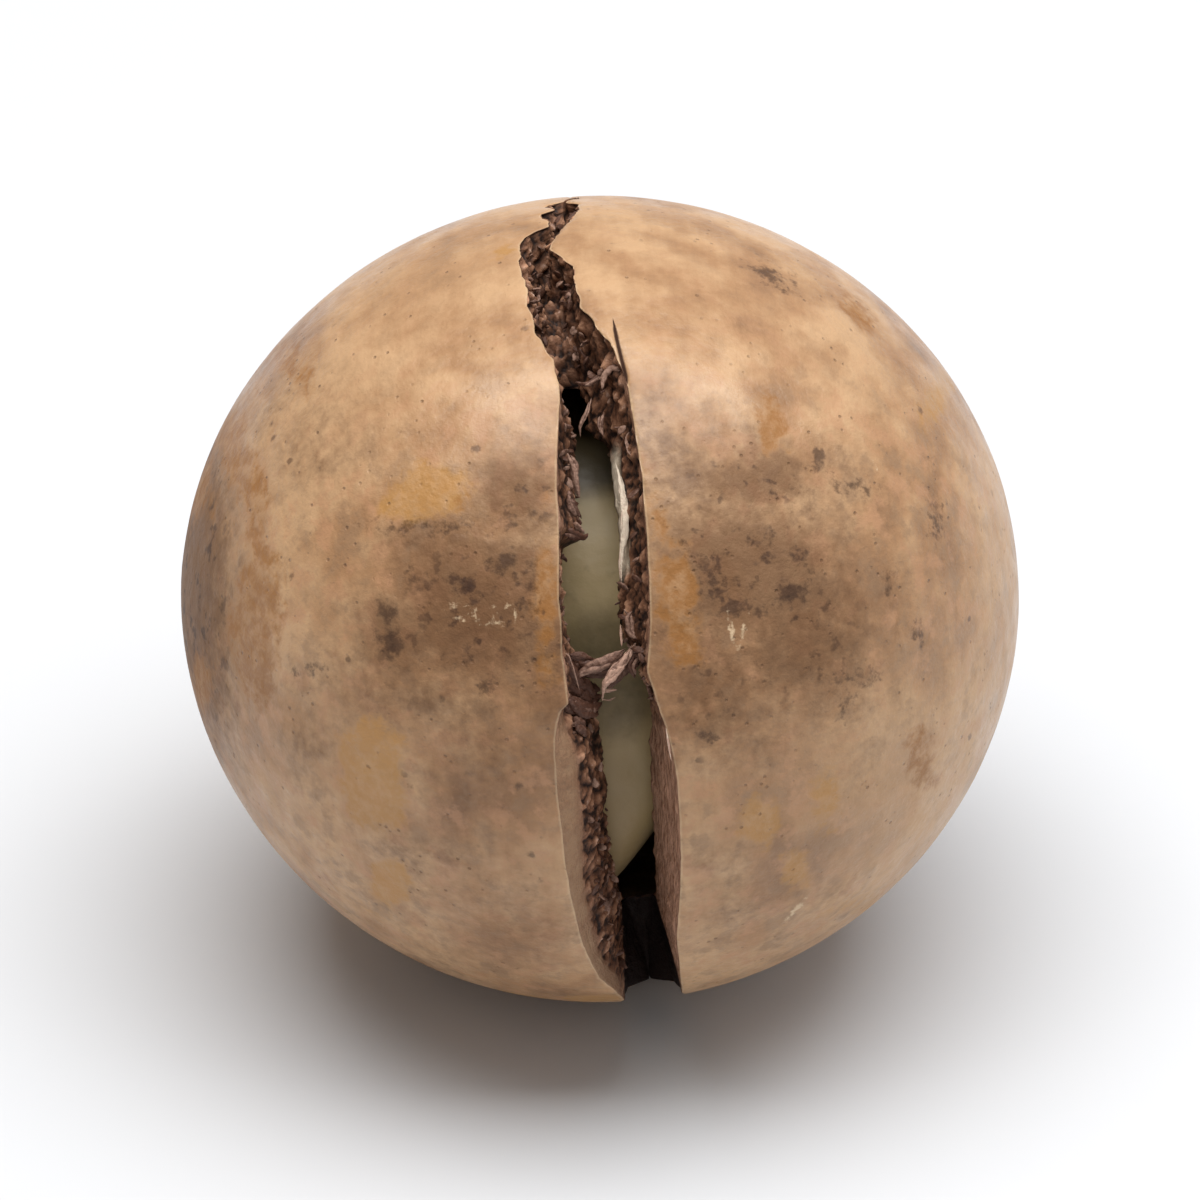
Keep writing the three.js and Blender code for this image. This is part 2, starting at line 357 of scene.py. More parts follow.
@dataclass(frozen=True)
class Slit:
    """The slit's edges, as pairs of angle and distance across it.

    From the top down to `broken_to` the shell cracked unevenly and partway. Below that both lips
    are sawn, and the wall behind them broke.
    """

    form: NutForm
    top: float = 84.5
    foot: float = -107.0
    broken_to: float = 34.0
    through: tuple[float, float] = (43.0, -103.0)
    left_lip: Places = (
        (84.5, 0.93), (82, 0.7), (80.3, 0.5), (78.6, 0.05), (77.6, -0.05), (76.8, 0.16),
        (75.2, 0.2), (73.7, -0.23), (70.3, -0.05), (67.9, -0.18), (66.7, -0.56), (65.1, -0.89),
        (62.3, -1.09), (59, -1.11), (53.7, -1.01), (49.2, -1.02), (44.9, -0.94), (41.6, -0.86),
        (38.9, -0.68), (36.6, -0.45), (34.6, -0.49), (32.3, -0.39), (29.6, -0.43),
        (26.5, -0.56), (22.9, -0.69), (19.5, -0.81), (16.6, -0.89), (13.7, -0.91),
        (9.9, -1.01), (5.2, -1.13), (0.7, -1.26), (-2.1, -1.27), (-7, -1.38), (-12, -1.36),
        (-14, -1.4), (-14.9, -1.66), (-16.8, -1.84), (-19.4, -1.96), (-22, -2.03),
        (-27.4, -2.1), (-39.3, -2.14), (-46, -2.12), (-53.7, -2.0), (-58.1, -1.94),
        (-63.1, -1.77), (-69.2, -1.57), (-74.4, -1.19), (-80.6, -0.95), (-90, -0.88),
        (-98, -0.86), (-103, -0.72), (-107, 0.0),
    )
    right_lip: Places = (
        (84.5, 0.93), (83.2, 0.98), (81.6, 0.66), (79.5, 0.62), (78, 0.95), (75.5, 0.9),
        (72.7, 0.81), (70.7, 0.64), (67.7, 0.37), (64, 0.09), (60.7, -0.11), (58, 0.11),
        (55.2, 0.48), (51.3, 0.49), (47.6, 0.55), (44.8, 0.71), (41.4, 1.05), (38.8, 1.36),
        (36.3, 1.51), (34, 1.62), (31.1, 1.72), (28.4, 1.74), (17, 1.8), (13.1, 1.74),
        (8.2, 1.7), (3.5, 1.62), (-1.5, 1.52), (-4.7, 1.44), (-7.8, 1.3), (-10.9, 1.16),
        (-13.8, 1.27), (-16.7, 1.39), (-19.6, 1.53), (-23.6, 1.62), (-27.6, 1.64),
        (-32.8, 1.6), (-38.3, 1.5), (-44.3, 1.38), (-50.8, 1.2), (-58.4, 1.0), (-73.2, 0.97),
        (-90, 0.95), (-98, 0.92), (-103, 0.75), (-107, 0.0),
    )
    left_deep: Places = (
        (84.5, 0.93), (76, 0.3), (70, 0.1), (65, -0.5), (59, -0.75), (55, -0.65),
        (49.5, -0.6), (46, -0.9), (43.1, -1.0), (40.3, -1.0), (38.5, -0.8), (35.6, -0.7),
        (32.4, -0.3), (28.8, -0.16), (25.5, -0.36), (22.1, -0.4), (15.6, -0.45), (12.7, -0.35),
        (11.4, -0.4), (10.2, -1.15), (6.7, -1.36), (0.5, -1.55), (-2.9, -1.5), (-7.5, -1.42),
        (-11.4, -1.28), (-16.1, -1.2), (-19.6, -0.94), (-23.2, -0.68), (-26.8, -0.63),
        (-30.4, -0.7), (-38.1, -0.74), (-46.7, -0.87), (-57.2, -0.86), (-72.3, -0.79),
        (-90, -0.78), (-99, -0.74), (-103, -0.55), (-107, 0.0),
    )
    right_deep: Places = (
        (84.5, 0.93), (76, 0.6), (70, 0.42), (65, -0.1), (59, -0.4), (55, 0.0), (49.5, 0.1),
        (46, 0.15), (42.6, 0.24), (39.6, 0.38), (35.7, 0.37), (31.9, 0.5), (28.6, 1.02),
        (24.6, 1.12), (14.7, 1.15), (8.4, 1.09), (5.4, 0.92), (-0.2, 0.63), (-2.8, 0.61),
        (-4.7, 0.5), (-8.8, 0.86), (-12.9, 1.17), (-16.4, 1.43), (-19.2, 1.51),
        (-24.7, 1.42), (-28.1, 1.22), (-31.8, 1.19), (-39.6, 1.07), (-48.4, 0.95),
        (-59, 0.82), (-75.2, 0.7), (-90, 0.78), (-99, 0.74), (-103, 0.55), (-107, 0.0),
    )
    cut: Places = (
        (84.5, 0.06), (80, 0.2), (76, 0.32), (70, 0.42), (65, 0.5), (59, 0.52), (50, 0.55),
        (46, 0.66), (43, 1.0), (-103, 1.0), (-104, 0.85), (-107, 0.15),
    )
    hairline: Places = (
        (121, -0.9), (117, -0.8), (112, -0.3), (108, -0.25), (103, 0.3), (96, 0.35), (89, 0.75),
        (84.5, 0.93), (-107, 0.0), (-112, -0.25), (-118, -0.05), (-123, -0.3),
    )
    nick: Places = ((43.5, 1.53), (38, 1.6), (33, 1.7))
    grit: Grit = field(default_factory=lambda: Grit(11))

    def _ragged(self, angle: Array, row: float, broken: float, sawn: float) -> Array:
        """Roughens an edge.

        Args:
            angle: Angles along the slit.
            row: Picks one edge's own pattern.
            broken: How far the roughness reaches where the shell cracked.
            sawn: How far it reaches below that.

        Returns:
            Distances to add across the slit.
        """
        arc = np.radians(angle) * self.form.radius
        points = np.stack([arc, np.full_like(arc, row), np.zeros_like(arc)], axis=1)
        reach = sawn + (broken - sawn) * ease(angle, self.broken_to - 2, self.broken_to + 4)
        shut = ease(angle, self.top, self.top - 6) * ease(angle, self.foot, self.foot + 8)
        rough = self.grit.layered(points, 0.9, 4)
        return rough * reach * shut

    def edges(self, angle: Array) -> tuple[Array, Array, Array, Array]:
        """Places the slit's four edges.

        Args:
            angle: Angles along the slit.

        Returns:
            The left and right lips and the left and right deep edges, across the slit.
        """
        left = along(self.left_lip, angle) + self._ragged(angle, 1.5, 0.2, 0.03)
        right = along(self.right_lip, angle) + self._ragged(angle, 9.5, 0.2, 0.03)
        deep_left = along(self.left_deep, angle) + self._ragged(angle, 23.5, 0.2, 0.16)
        deep_right = along(self.right_deep, angle) + self._ragged(angle, 31.5, 0.2, 0.16)
        return left, right, deep_left, deep_right

    def line(self, angle: Array) -> tuple[Array, Array]:
        """Places the fine lines: the nick above the right lip and the hairlines at both ends.

        Args:
            angle: Angles along the slit.

        Returns:
            Where each line is across the slit, and how plain it is from 0 to 1.
        """
        arc = np.radians(angle) * self.form.radius
        points = np.stack([arc, np.full_like(arc, 40.5), np.zeros_like(arc)], axis=1)
        hair = along(self.hairline, angle) + 0.32 * self.grit.layered(points, 1.9, 5) * (
            ease(angle, self.top, self.top + 6) + ease(angle, self.foot, self.foot - 6)
        )
        is_nick = (angle < 50) & (angle > 20)
        middle = np.where(is_nick, along(self.nick, angle), hair)
        shown = np.where(
            is_nick,
            ease(angle, 43.8, 40) * ease(angle, 30.5, 32),
            ease(angle, 121, 84) * ease(angle, self.top - 3, self.top)
            + ease(angle, -123, -117) * ease(angle, self.foot + 3, self.foot),
        )
        return middle, shown

    def sawn(self, angle: Array) -> Array:
        """Tells the sawn stretch, 1, from the cracked one, 0."""
        return 1 - ease(angle, self.broken_to - 3, self.broken_to + 3)

    def bevel(self, angle: Array) -> Array:
        """Tells where the left lip has the smooth slope that the saw left."""
        return ease(angle, -11, -22) * ease(angle, -88, -72)

    def soot(self, angle: Array) -> Array:
        """Tells where the walls get painted shade, going near-black near the slit's foot."""
        return ease(angle, -82, -94)


@dataclass(frozen=True)
class Mark:
    """A mark on the skin, placed by millimetres right of and above the middle of the nut.

    Hidden marks give a direction from the middle in place of that.
    """

    kind: MarkKind
    right: float
    up: float
    half_width: float
    half_height: float
    tilt: float = 0.0
    strength: float = 1.0
    towards: Optional[tuple[float, float, float]] = None


# A mark's outline is an ellipse at squareness 2 and boxier above. Places on the back count as
# further from the marks on the front. Beyond a mark's reach every place counts as far, and
# NO_MARK is the distance that a place has when nothing is near.
SQUARENESS = 2.4
BACK_FADE = 12.0
MARK_REACH = 0.2
FAR_RING = 9.0
NO_MARK = 3.0


# Millimetres right of and above the middle, half width and half height, and then, where they are
# given, the tilt in degrees and the strength.
FRONT_MARKS: dict[MarkKind, tuple[tuple[float, ...], ...]] = {
    MarkKind.BLOND: (
        (-5.05, 3.35, 1.15, 0.8, -8), (-5.9, 2.9, 0.8, 0.45, 12), (-6.9, -5.4, 0.95, 1.7, 8),
        (-6.5, -8.8, 0.6, 0.9, -20), (4.9, -6.9, 0.55, 0.75, -20), (6.9, -6.0, 0.45, 0.8, -8),
        (6.1, -8.4, 0.35, 0.5, 10), (7.9, -9.5, 0.6, 0.25, 25), (-3.0, 10.9, 0.5, 0.25, 10),
        (10.4, 6.4, 0.4, 1.0, -28),
    ),
    MarkKind.STAIN: (
        (-1.75, 0.1, 0.34, 1.9, 2), (2.45, 0.05, 0.68, 1.85, 4), (1.85, 2.3, 0.3, 0.9, 5),
        (-10.4, -0.6, 0.7, 2.3, -3), (8.0, 8.9, 0.3, 0.55, 30), (-4.2, 3.0, 0.3, 0.35, 0),
        (-11.2, 4.6, 0.5, 2.1, 22), (-9.7, 7.4, 0.4, 1.0, 40), (9.9, -5.0, 0.35, 0.9, 16),
        (5.2, 5.2, 0.4, 0.8, 12), (-12.3, 3.6, 0.4, 1.1, 10), (-12.1, -2.6, 0.3, 0.7, -12),
    ),
    # Shade marks: the weathered dark zones beside the slit, and painted shade along the left edge
    # and over the lower half.
    MarkKind.SHADE: (
        (-2.3, 3.3, 1.7, 1.5, 0, 0.85), (3.2, 4.2, 2.4, 1.6, 0, 0.65),
        (-7.2, -0.6, 2.0, 2.6, 0, 0.35), (-3.6, -0.3, 2.6, 2.4, 0, 1.0),
        (-6.1, -1.4, 1.4, 1.8, 20, 0.75), (-5.2, 1.8, 1.6, 0.5, 0, 0.6),
        (-3.2, -10.6, 3.4, 1.5, 15, 0.45), (4.4, 1.2, 2.8, 2.6, -15, 1.0),
        (6.0, -1.0, 2.6, 2.6, 0, 0.85), (5.2, 3.8, 2.0, 1.1, 0, 0.85),
        (3.5, -2.6, 2.2, 2.4, 0, 0.75), (-3.6, -4.6, 2.6, 2.6, 0, 0.5),
        (-8.6, -3.9, 1.8, 2.2, 0, 0.4), (-10.9, 2.6, 0.8, 1.9, 15, 0.35),
        (-12.3, 0.4, 1.3, 5.5, 0, 1.0), (-8.6, -6.2, 2.0, 2.8, 25, 0.25),
        (7.6, -4.4, 2.4, 3.0, 0, 0.25), (-5.2, -8.4, 4.0, 2.6, 15, 0.35),
        (5.2, -9.4, 4.0, 2.2, -15, 0.35), (4.6, 3.6, 1.9, 1.0, 0, 1.0),
        (1.6, 6.0, 1.6, 1.2, 0, 0.4), (-1.7, 3.7, 0.7, 1.0, 0, 0.75),
        (-1.6, -1.5, 0.9, 2.4, 0, 0.85), (2.6, -0.6, 1.4, 2.2, 0, 0.65),
        (5.4, 1.0, 1.6, 1.3, 0, 1.1), (-8.8, 5.2, 2.4, 2.0, 0, 0.4),
        (-6.4, -3.0, 2.4, 1.4, 0, 0.6), (-4.2, -5.6, 1.6, 1.6, 0, 0.4),
        (-12.7, 1.0, 1.0, 3.0, 0, 0.9),
    ),
    # Light marks: painted light that pales the right edge, the lower right and two places on the
    # left.
    MarkKind.LIGHT: (
        (9.6, -6.0, 2.6, 3.4, 20, 0.8), (-4.8, 10.3, 2.4, 1.2, 20, 0.4),
        (-9.5, -4.6, 1.4, 2.6, -15, 0.4), (12.2, -1.0, 1.0, 4.0, 0, 0.6),
    ),
    MarkKind.SPECK: (
        (-5.7, 0.65, 0.18, 0.2), (-4.2, 0.45, 0.3, 0.24), (-2.8, 1.25, 0.45, 0.24, 20),
        (-2.1, 0.4, 0.12, 0.5), (-6.5, -0.4, 0.26, 0.42, 25), (-6.4, -1.25, 0.34, 0.5, 10),
        (-4.1, -1.85, 0.28, 0.16), (-5.2, 2.25, 0.9, 0.09), (-3.4, -2.6, 0.22, 0.2, 35),
        (-2.65, 2.3, 0.2, 0.1), (6.0, 0.25, 0.46, 0.28, 10), (6.0, 1.4, 0.22, 0.16),
        (7.8, 3.4, 0.36, 0.15, -10), (3.1, 1.1, 0.12, 0.7, 35), (4.1, -0.2, 0.42, 0.3, 20),
        (6.7, 4.4, 0.14, 0.24), (10.2, 2.4, 0.14, 0.3), (8.8, 0.55, 0.12, 0.22),
        (8.1, -2.3, 0.24, 0.17), (7.4, -2.4, 0.28, 0.2), (7.5, -3.2, 0.16, 0.26),
        (9.6, -1.0, 0.2, 0.24, 30), (3.3, -4.2, 0.22, 0.2), (5.0, 2.0, 0.2, 0.14),
        (5.3, 10.1, 0.42, 0.22, -25), (5.9, 9.65, 0.12, 0.1), (-1.0, -5.9, 0.2, 0.12),
        (-8.9, -2.1, 0.22, 0.14),
    ),
    # Stroke marks: pale scratches painted as glints, partly real scratches and partly painted
    # highlight.
    MarkKind.STROKE: (
        (4.05, -0.95, 0.07, 0.42, 10), (4.45, -0.85, 0.05, 0.34, -12),
        (-4.6, -0.2, 0.12, 0.05, 12), (-4.25, -0.15, 0.16, 0.04, -8),
        (-3.9, -0.4, 0.07, 0.14, 30), (-3.3, -0.25, 0.16, 0.05, -20),
        (-2.8, -0.15, 0.12, 0.04, 10), (-4.3, -0.58, 0.18, 0.05, -5),
        (-3.8, -0.55, 0.06, 0.12, 20), (-3.4, -0.7, 0.16, 0.06, 25),
        (-3.05, -0.72, 0.12, 0.06, -25), (-2.6, -0.5, 0.06, 0.14, 15), (8.3, 4.2, 0.05, 0.2, 20),
        (6.1, -9.6, 0.3, 0.05, 50),
    ),
}


def front_marks() -> list[Mark]:
    """Lists the marks on the side that the slit faces."""
    return [Mark(kind, *row) for kind, rows in FRONT_MARKS.items() for row in rows]


def hidden_marks(form: NutForm, count: int = 60, seed: int = 5) -> list[Mark]:
    """Scatters marks over the sides and the back.

    Args:
        form: The nut.
        count: How many places to try.
        seed: Picks the pattern.

    Returns:
        Marks that stay off the side that the slit faces.
    """
    draw = np.random.default_rng(seed)
    marks = []
    for _ in range(count):
        way = unit(draw.normal(size=3))
        width, length = draw.uniform(0.25, 0.9), draw.uniform(0.4, 1.7)
        pick, tilt = draw.random(), draw.uniform(-40, 40)
        if way @ form.facing > 0.15:
            continue
        towards = tuple(float(x) for x in way)
        if pick < 0.45:
            kind = MarkKind.STAIN if pick < 0.2 else MarkKind.BLOND
            marks.append(Mark(kind, 0, 0, width, length, tilt, 1.0, towards))
        elif pick < 0.65:
            marks.append(
                Mark(MarkKind.SHADE, 0, 0, width * 3, length * 1.8, tilt, 0.8, towards)
            )
        else:
            marks.append(Mark(MarkKind.SPECK, 0, 0, width / 3, length / 6, tilt, 1.0, towards))
    return marks


def mark_field(form: NutForm, marks: Sequence[Mark], kind: MarkKind, ways: Array) -> Array:
    """Measures how far places on the skin are from the marks of one kind.

    Args:
        form: The nut.
        marks: All marks.
        kind: The kind to measure.
        ways: Unit vectors from the middle.

    Returns:
        For shades and lights, their strength from 0 to 1. For the others, millimetres to the
        nearest outline, negative inside.
    """
    fades = kind in (MarkKind.SHADE, MarkKind.LIGHT)
    result = np.full(len(ways), 0.0 if fades else NO_MARK)
    for mark in (m for m in marks if m.kind is kind):
        if mark.towards is None:
            flat = mark.right * form.sideways + mark.up * form.upright
            rest = math.sqrt(max(form.radius**2 - mark.right**2 - mark.up**2, 0.5))
            middle = unit(flat + rest * form.facing)
            first, second = form.sideways, form.upright
            hidden = BACK_FADE * np.maximum(-(ways @ form.facing), 0.0)
        else:
            middle = unit(np.array(mark.towards))
            first = unit(np.cross(form.across, middle))
            second = np.cross(middle, first)
            hidden = 0.0
        turn = math.radians(mark.tilt)
        wide = math.cos(turn) * first + math.sin(turn) * second
        high = math.cos(turn) * second - math.sin(turn) * first
        away = (ways - middle) * form.radius
        x, y = away @ wide / mark.half_width, away @ high / mark.half_height
        square = np.abs(x) ** SQUARENESS + np.abs(y) ** SQUARENESS
        ring = square ** (1 / SQUARENESS) + hidden
        ring = np.where(ways @ middle > MARK_REACH, ring, FAR_RING)
        if fades:
            result = np.maximum(result, mark.strength * np.exp(-((ring * 0.85) ** 2)))
        else:
            result = np.minimum(result, (ring - 1) * min(mark.half_width, mark.half_height))
    return result


class MeshMaker:
    """Collects points, faces and what each point carries, then makes one mesh object."""

    def __init__(self, attributes: Sequence[str]) -> None:
        """Starts an empty mesh.

        Args:
            attributes: Names of the numbers that each point carries.
        """
        self.points: list[Array] = []
        self.carried: dict[str, list[Array]] = {name: [] for name in attributes}
        self.count = 0
        self.faces: list[tuple[int, ...]] = []
        self.slots: list[int] = []

    def add(self, points: Array, **carried: Union[Array, float]) -> Array:
        """Adds points.

        Args:
            points: Places in millimetres.
            **carried: Values for some of the attributes; the rest are 0.

        Returns:
            The points' numbers.
        """
        points = points.reshape(-1, 3)
        self.points.append(points)
        for name, store in self.carried.items():
            store.append(np.broadcast_to(carried.get(name, 0.0), (len(points),)))
        start, self.count = self.count, self.count + len(points)
        return np.arange(start, self.count)

    def face(self, corners: Sequence[int], slot: int) -> None:
        """Adds a face, leaving out corners that repeat.

        Args:
            corners: Point numbers in order round the face.
            slot: The face's material slot.
        """
        kept = [int(c) for k, c in enumerate(corners) if c != corners[k - 1]]
        if len(kept) > 2:
            self.faces.append(tuple(kept))
            self.slots.append(slot)

    def strip(self, near: Sequence[int], far: Sequence[int], slot: int, loop: bool) -> None:
        """Fills between two rows of the same length.

        Args:
            near: The first row's points.
            far: The second row's points.
            slot: Material slot.
            loop: Whether the last point joins the first.
        """
        for k in range(len(near) - (0 if loop else 1)):
            n = (k + 1) % len(near)
            self.face((near[k], near[n], far[n], far[k]), slot)

    def halve(self, fine: Sequence[int], coarse: Sequence[int], slot: int) -> None:
        """Fills between a closed row and one with half as many points.

        Args:
            fine: The fuller row.
            coarse: The row with every other point.
            slot: Material slot.
        """
        for k in range(len(coarse)):
            n = (k + 1) % len(coarse)
            a, b, c = fine[2 * k], fine[2 * k + 1], fine[(2 * k + 2) % len(fine)]
            self.face((a, b, coarse[k]), slot)
            self.face((b, coarse[n], coarse[k]), slot)
            self.face((b, c, coarse[n]), slot)

    def fan(self, tip: int, row: Sequence[int], slot: int) -> None:
        """Fills between one point and a row.

        Args:
            tip: The single point.
            row: The row's points.
            slot: Material slot.
        """
        for k in range(len(row) - 1):
            self.face((tip, row[k], row[k + 1]), slot)

    def build(
        self,
        name: str,
        materials: Sequence[bpy.types.Material],
        shape: Optional[Callable[[Array], Array]] = None,
    ) -> bpy.types.Object:
        """Makes the object.

        Args:
            name: The piece's name.
            materials: One for each slot.
            shape: A last change to all the points, if any.

        Returns:
            The new object, linked into the scene.
        """
        points = np.concatenate(self.points)
        if shape:
            points = shape(points)
        mesh = bpy.data.meshes.new(name)
        mesh.from_pydata((points * MM).tolist(), [], self.faces)
        mesh.polygons.foreach_set("material_index", self.slots)
        for material in materials:
            mesh.materials.append(material)
        shell = bmesh.new()
        shell.from_mesh(mesh)
        bmesh.ops.recalc_face_normals(shell, faces=shell.faces)
        shell.to_mesh(mesh)
        shell.free()
        for attribute, parts in self.carried.items():
            layer = mesh.attributes.new(attribute, "FLOAT", "POINT")
            layer.data.foreach_set("value", np.concatenate(parts).astype(np.float32))
        mesh.polygons.foreach_set("use_smooth", [True] * len(mesh.polygons))
        mesh.update()
        piece = bpy.data.objects.new(name, mesh)
        bpy.context.scene.collection.objects.link(piece)
        LOG.info("%s: %d points, %d faces", name, len(mesh.vertices), len(mesh.polygons))
        return piece


class Recipe:
    """Builds one material's nodes with short calls. Lengths are in millimetres."""

    def __init__(self, name: str) -> None:
        """Starts an empty material.

        Args:
            name: The material's name.
        """
        self.material = bpy.data.materials.new(name)
        self.material.use_nodes = True
        self.tree = self.material.node_tree
        self.tree.nodes.clear()
        where = self.tree.nodes.new("ShaderNodeTexCoord")
        self.place = self._node("ShaderNodeVectorMath", operation="SCALE")
        self.tree.links.new(where.outputs["Object"], self.place.inputs[0])
        self.place.inputs["Scale"].default_value = 1 / MM

    def _node(self, kind: str, **settings: object) -> bpy.types.Node:
        """Adds a node and sets its options."""
        node = self.tree.nodes.new(kind)
        for name, value in settings.items():
            setattr(node, name, value)
        return node

    def _feed(self, socket: Socket, value: Union[Feed, Sequence[float]]) -> None:
        """Links a socket, or sets it to a number or colour."""
        if isinstance(value, bpy.types.NodeSocket):
            self.tree.links.new(value, socket)
        elif isinstance(value, (int, float)):
            socket.default_value = value
        else:
            socket.default_value = (*value, 1.0) if socket.type == "RGBA" else tuple(value)

    def attribute(self, name: str) -> Socket:
        """Reads a number that the mesh carries."""
        node = self._node("ShaderNodeAttribute", attribute_name=name)
        return node.outputs["Fac"]

    def _sum(self, operation: str, first: Feed, second: Feed = 0.0) -> Socket:
        """Does a sum on sockets.

        Args:
            operation: Blender's name for the sum.
            first: The first value.
            second: The second value.

        Returns:
            The result.
        """
        node = self._node("ShaderNodeMath", operation=operation)
        self._feed(node.inputs[0], first)
        self._feed(node.inputs[1], second)
        return node.outputs[0]

    def plus(self, first: Feed, second: Feed) -> Socket:
        """Adds two values."""
        return self._sum("ADD", first, second)

    def less(self, first: Feed, second: Feed) -> Socket:
        """Takes the second value from the first."""
        return self._sum("SUBTRACT", first, second)

    def times(self, first: Feed, second: Feed) -> Socket:
        """Multiplies two values."""
        return self._sum("MULTIPLY", first, second)

    def size_of(self, value: Feed) -> Socket:
        """Drops a value's sign."""
        return self._sum("ABSOLUTE", value)

    def ease(self, value: Feed, low: Feed, high: Feed, to: float = 1.0) -> Socket:
        """Eases a value from 0 to another.

        Args:
            value: What to ease.
            low: Where the result is 0.
            high: Where it is full.
            to: The full result.

        Returns:
            The eased value.
        """
        node = self._node("ShaderNodeMapRange", interpolation_type="SMOOTHSTEP", clamp=True)
        for key, feed in (("Value", value), ("From Min", low), ("From Max", high)):
            self._feed(node.inputs[key], feed)
        node.inputs["To Max"].default_value = to
        return node.outputs["Result"]

    def mix(self, share: Feed, first: object, second: object) -> Socket:
        """Mixes colours.

        Args:
            share: How much of the second.
            first: A colour or socket.
            second: A colour or socket.

        Returns:
            The mixed colour.
        """
        node = self._node("ShaderNodeMix", data_type="RGBA", clamp_factor=True)
        self._feed(node.inputs[0], share)
        self._feed(node.inputs[6], first)
        self._feed(node.inputs[7], second)
        return node.outputs[2]

    def shifted(self, shift: Sequence[float]) -> Socket:
        """Moves the place, so that a pattern differs from another of the same size."""
        node = self._node("ShaderNodeVectorMath", operation="ADD")
        self.tree.links.new(self.place.outputs[0], node.inputs[0])
        node.inputs[1].default_value = tuple(shift)
        return node.outputs[0]

    def combine(self, x: Feed, y: Feed, z: Feed = 0.0) -> Socket:
        """Makes a place of three numbers."""
        node = self._node("ShaderNodeCombineXYZ")
        for socket, feed in zip(node.inputs, (x, y, z)):
            self._feed(socket, feed)
        return node.outputs[0]

    def noise(
        self, size: float, detail: float = 3.0, rough: float = 0.55, place: Optional[Socket] = None
    ) -> Socket:
        """Gives cloudy noise.

        Args:
            size: Size of its features.
            detail: How many finer layers it has.
            rough: How strong those are.
            place: Where to read it, if not at the plain place.

        Returns:
            Values about 0.5.
        """
        node = self._node("ShaderNodeTexNoise", noise_dimensions="3D")
        self.tree.links.new(place or self.place.outputs[0], node.inputs["Vector"])
        node.inputs["Scale"].default_value = 1 / size
        node.inputs["Detail"].default_value = detail
        node.inputs["Roughness"].default_value = rough
        return node.outputs["Fac"]

    def cells(self, size: float) -> Socket:
        """Gives a pattern of scattered cells.

        Args:
            size: Size of a cell.

        Returns:
            How far the nearest cell's middle is, in sizes of a cell.
        """
        node = self._node("ShaderNodeTexVoronoi", feature="F1")
        self.tree.links.new(self.place.outputs[0], node.inputs["Vector"])
        node.inputs["Scale"].default_value = 1 / size
        return node.outputs["Distance"]

    def ramp(self, share: Socket, stops: Sequence[tuple[float, Colour]]) -> Socket:
        """Turns a value into a colour.

        Args:
            share: The value.
            stops: Pairs of value and colour.

        Returns:
            The colour.
        """
        node = self._node("ShaderNodeValToRGB")
        bar = node.color_ramp
        while len(bar.elements) < len(stops):
            bar.elements.new(0.5)
        for element, (position, colour) in zip(bar.elements, stops):
            element.position = position
            element.color = (*colour, 1.0)
        self.tree.links.new(share, node.inputs[0])
        return node.outputs["Color"]

    def bump(self, height: Feed, reach: float, under: Optional[Socket] = None) -> Socket:
        """Tilts the surface's normal by a height.

        Args:
            height: The height, from 0 to 1.
            reach: How high 1 is.
            under: A normal to start from.

        Returns:
            The new normal.
        """
        node = self._node("ShaderNodeBump")
        node.inputs["Strength"].default_value = 1.0
        node.inputs["Distance"].default_value = reach * MM
        self._feed(node.inputs["Height"], height)
        if under:
            self.tree.links.new(under, node.inputs["Normal"])
        return node.outputs[0]

    def finish(
        self, colour: Socket, roughness: Feed, normal: Socket, **others: Feed
    ) -> bpy.types.Material:
        """Ends the recipe.

        Args:
            colour: Base colour.
            roughness: Roughness.
            normal: Normal.
            **others: Other inputs of the surface, with _ for a space.

        Returns:
            The material.
        """
        surface = self._node("ShaderNodeBsdfPrincipled")
        self._feed(surface.inputs["Base Color"], colour)
        self._feed(surface.inputs["Roughness"], roughness)
        self._feed(surface.inputs["Normal"], normal)
        for name, value in others.items():
            self._feed(surface.inputs[name.replace("_", " ")], value)
        end = self._node("ShaderNodeOutputMaterial")
        self.tree.links.new(surface.outputs[0], end.inputs["Surface"])
        return self.material


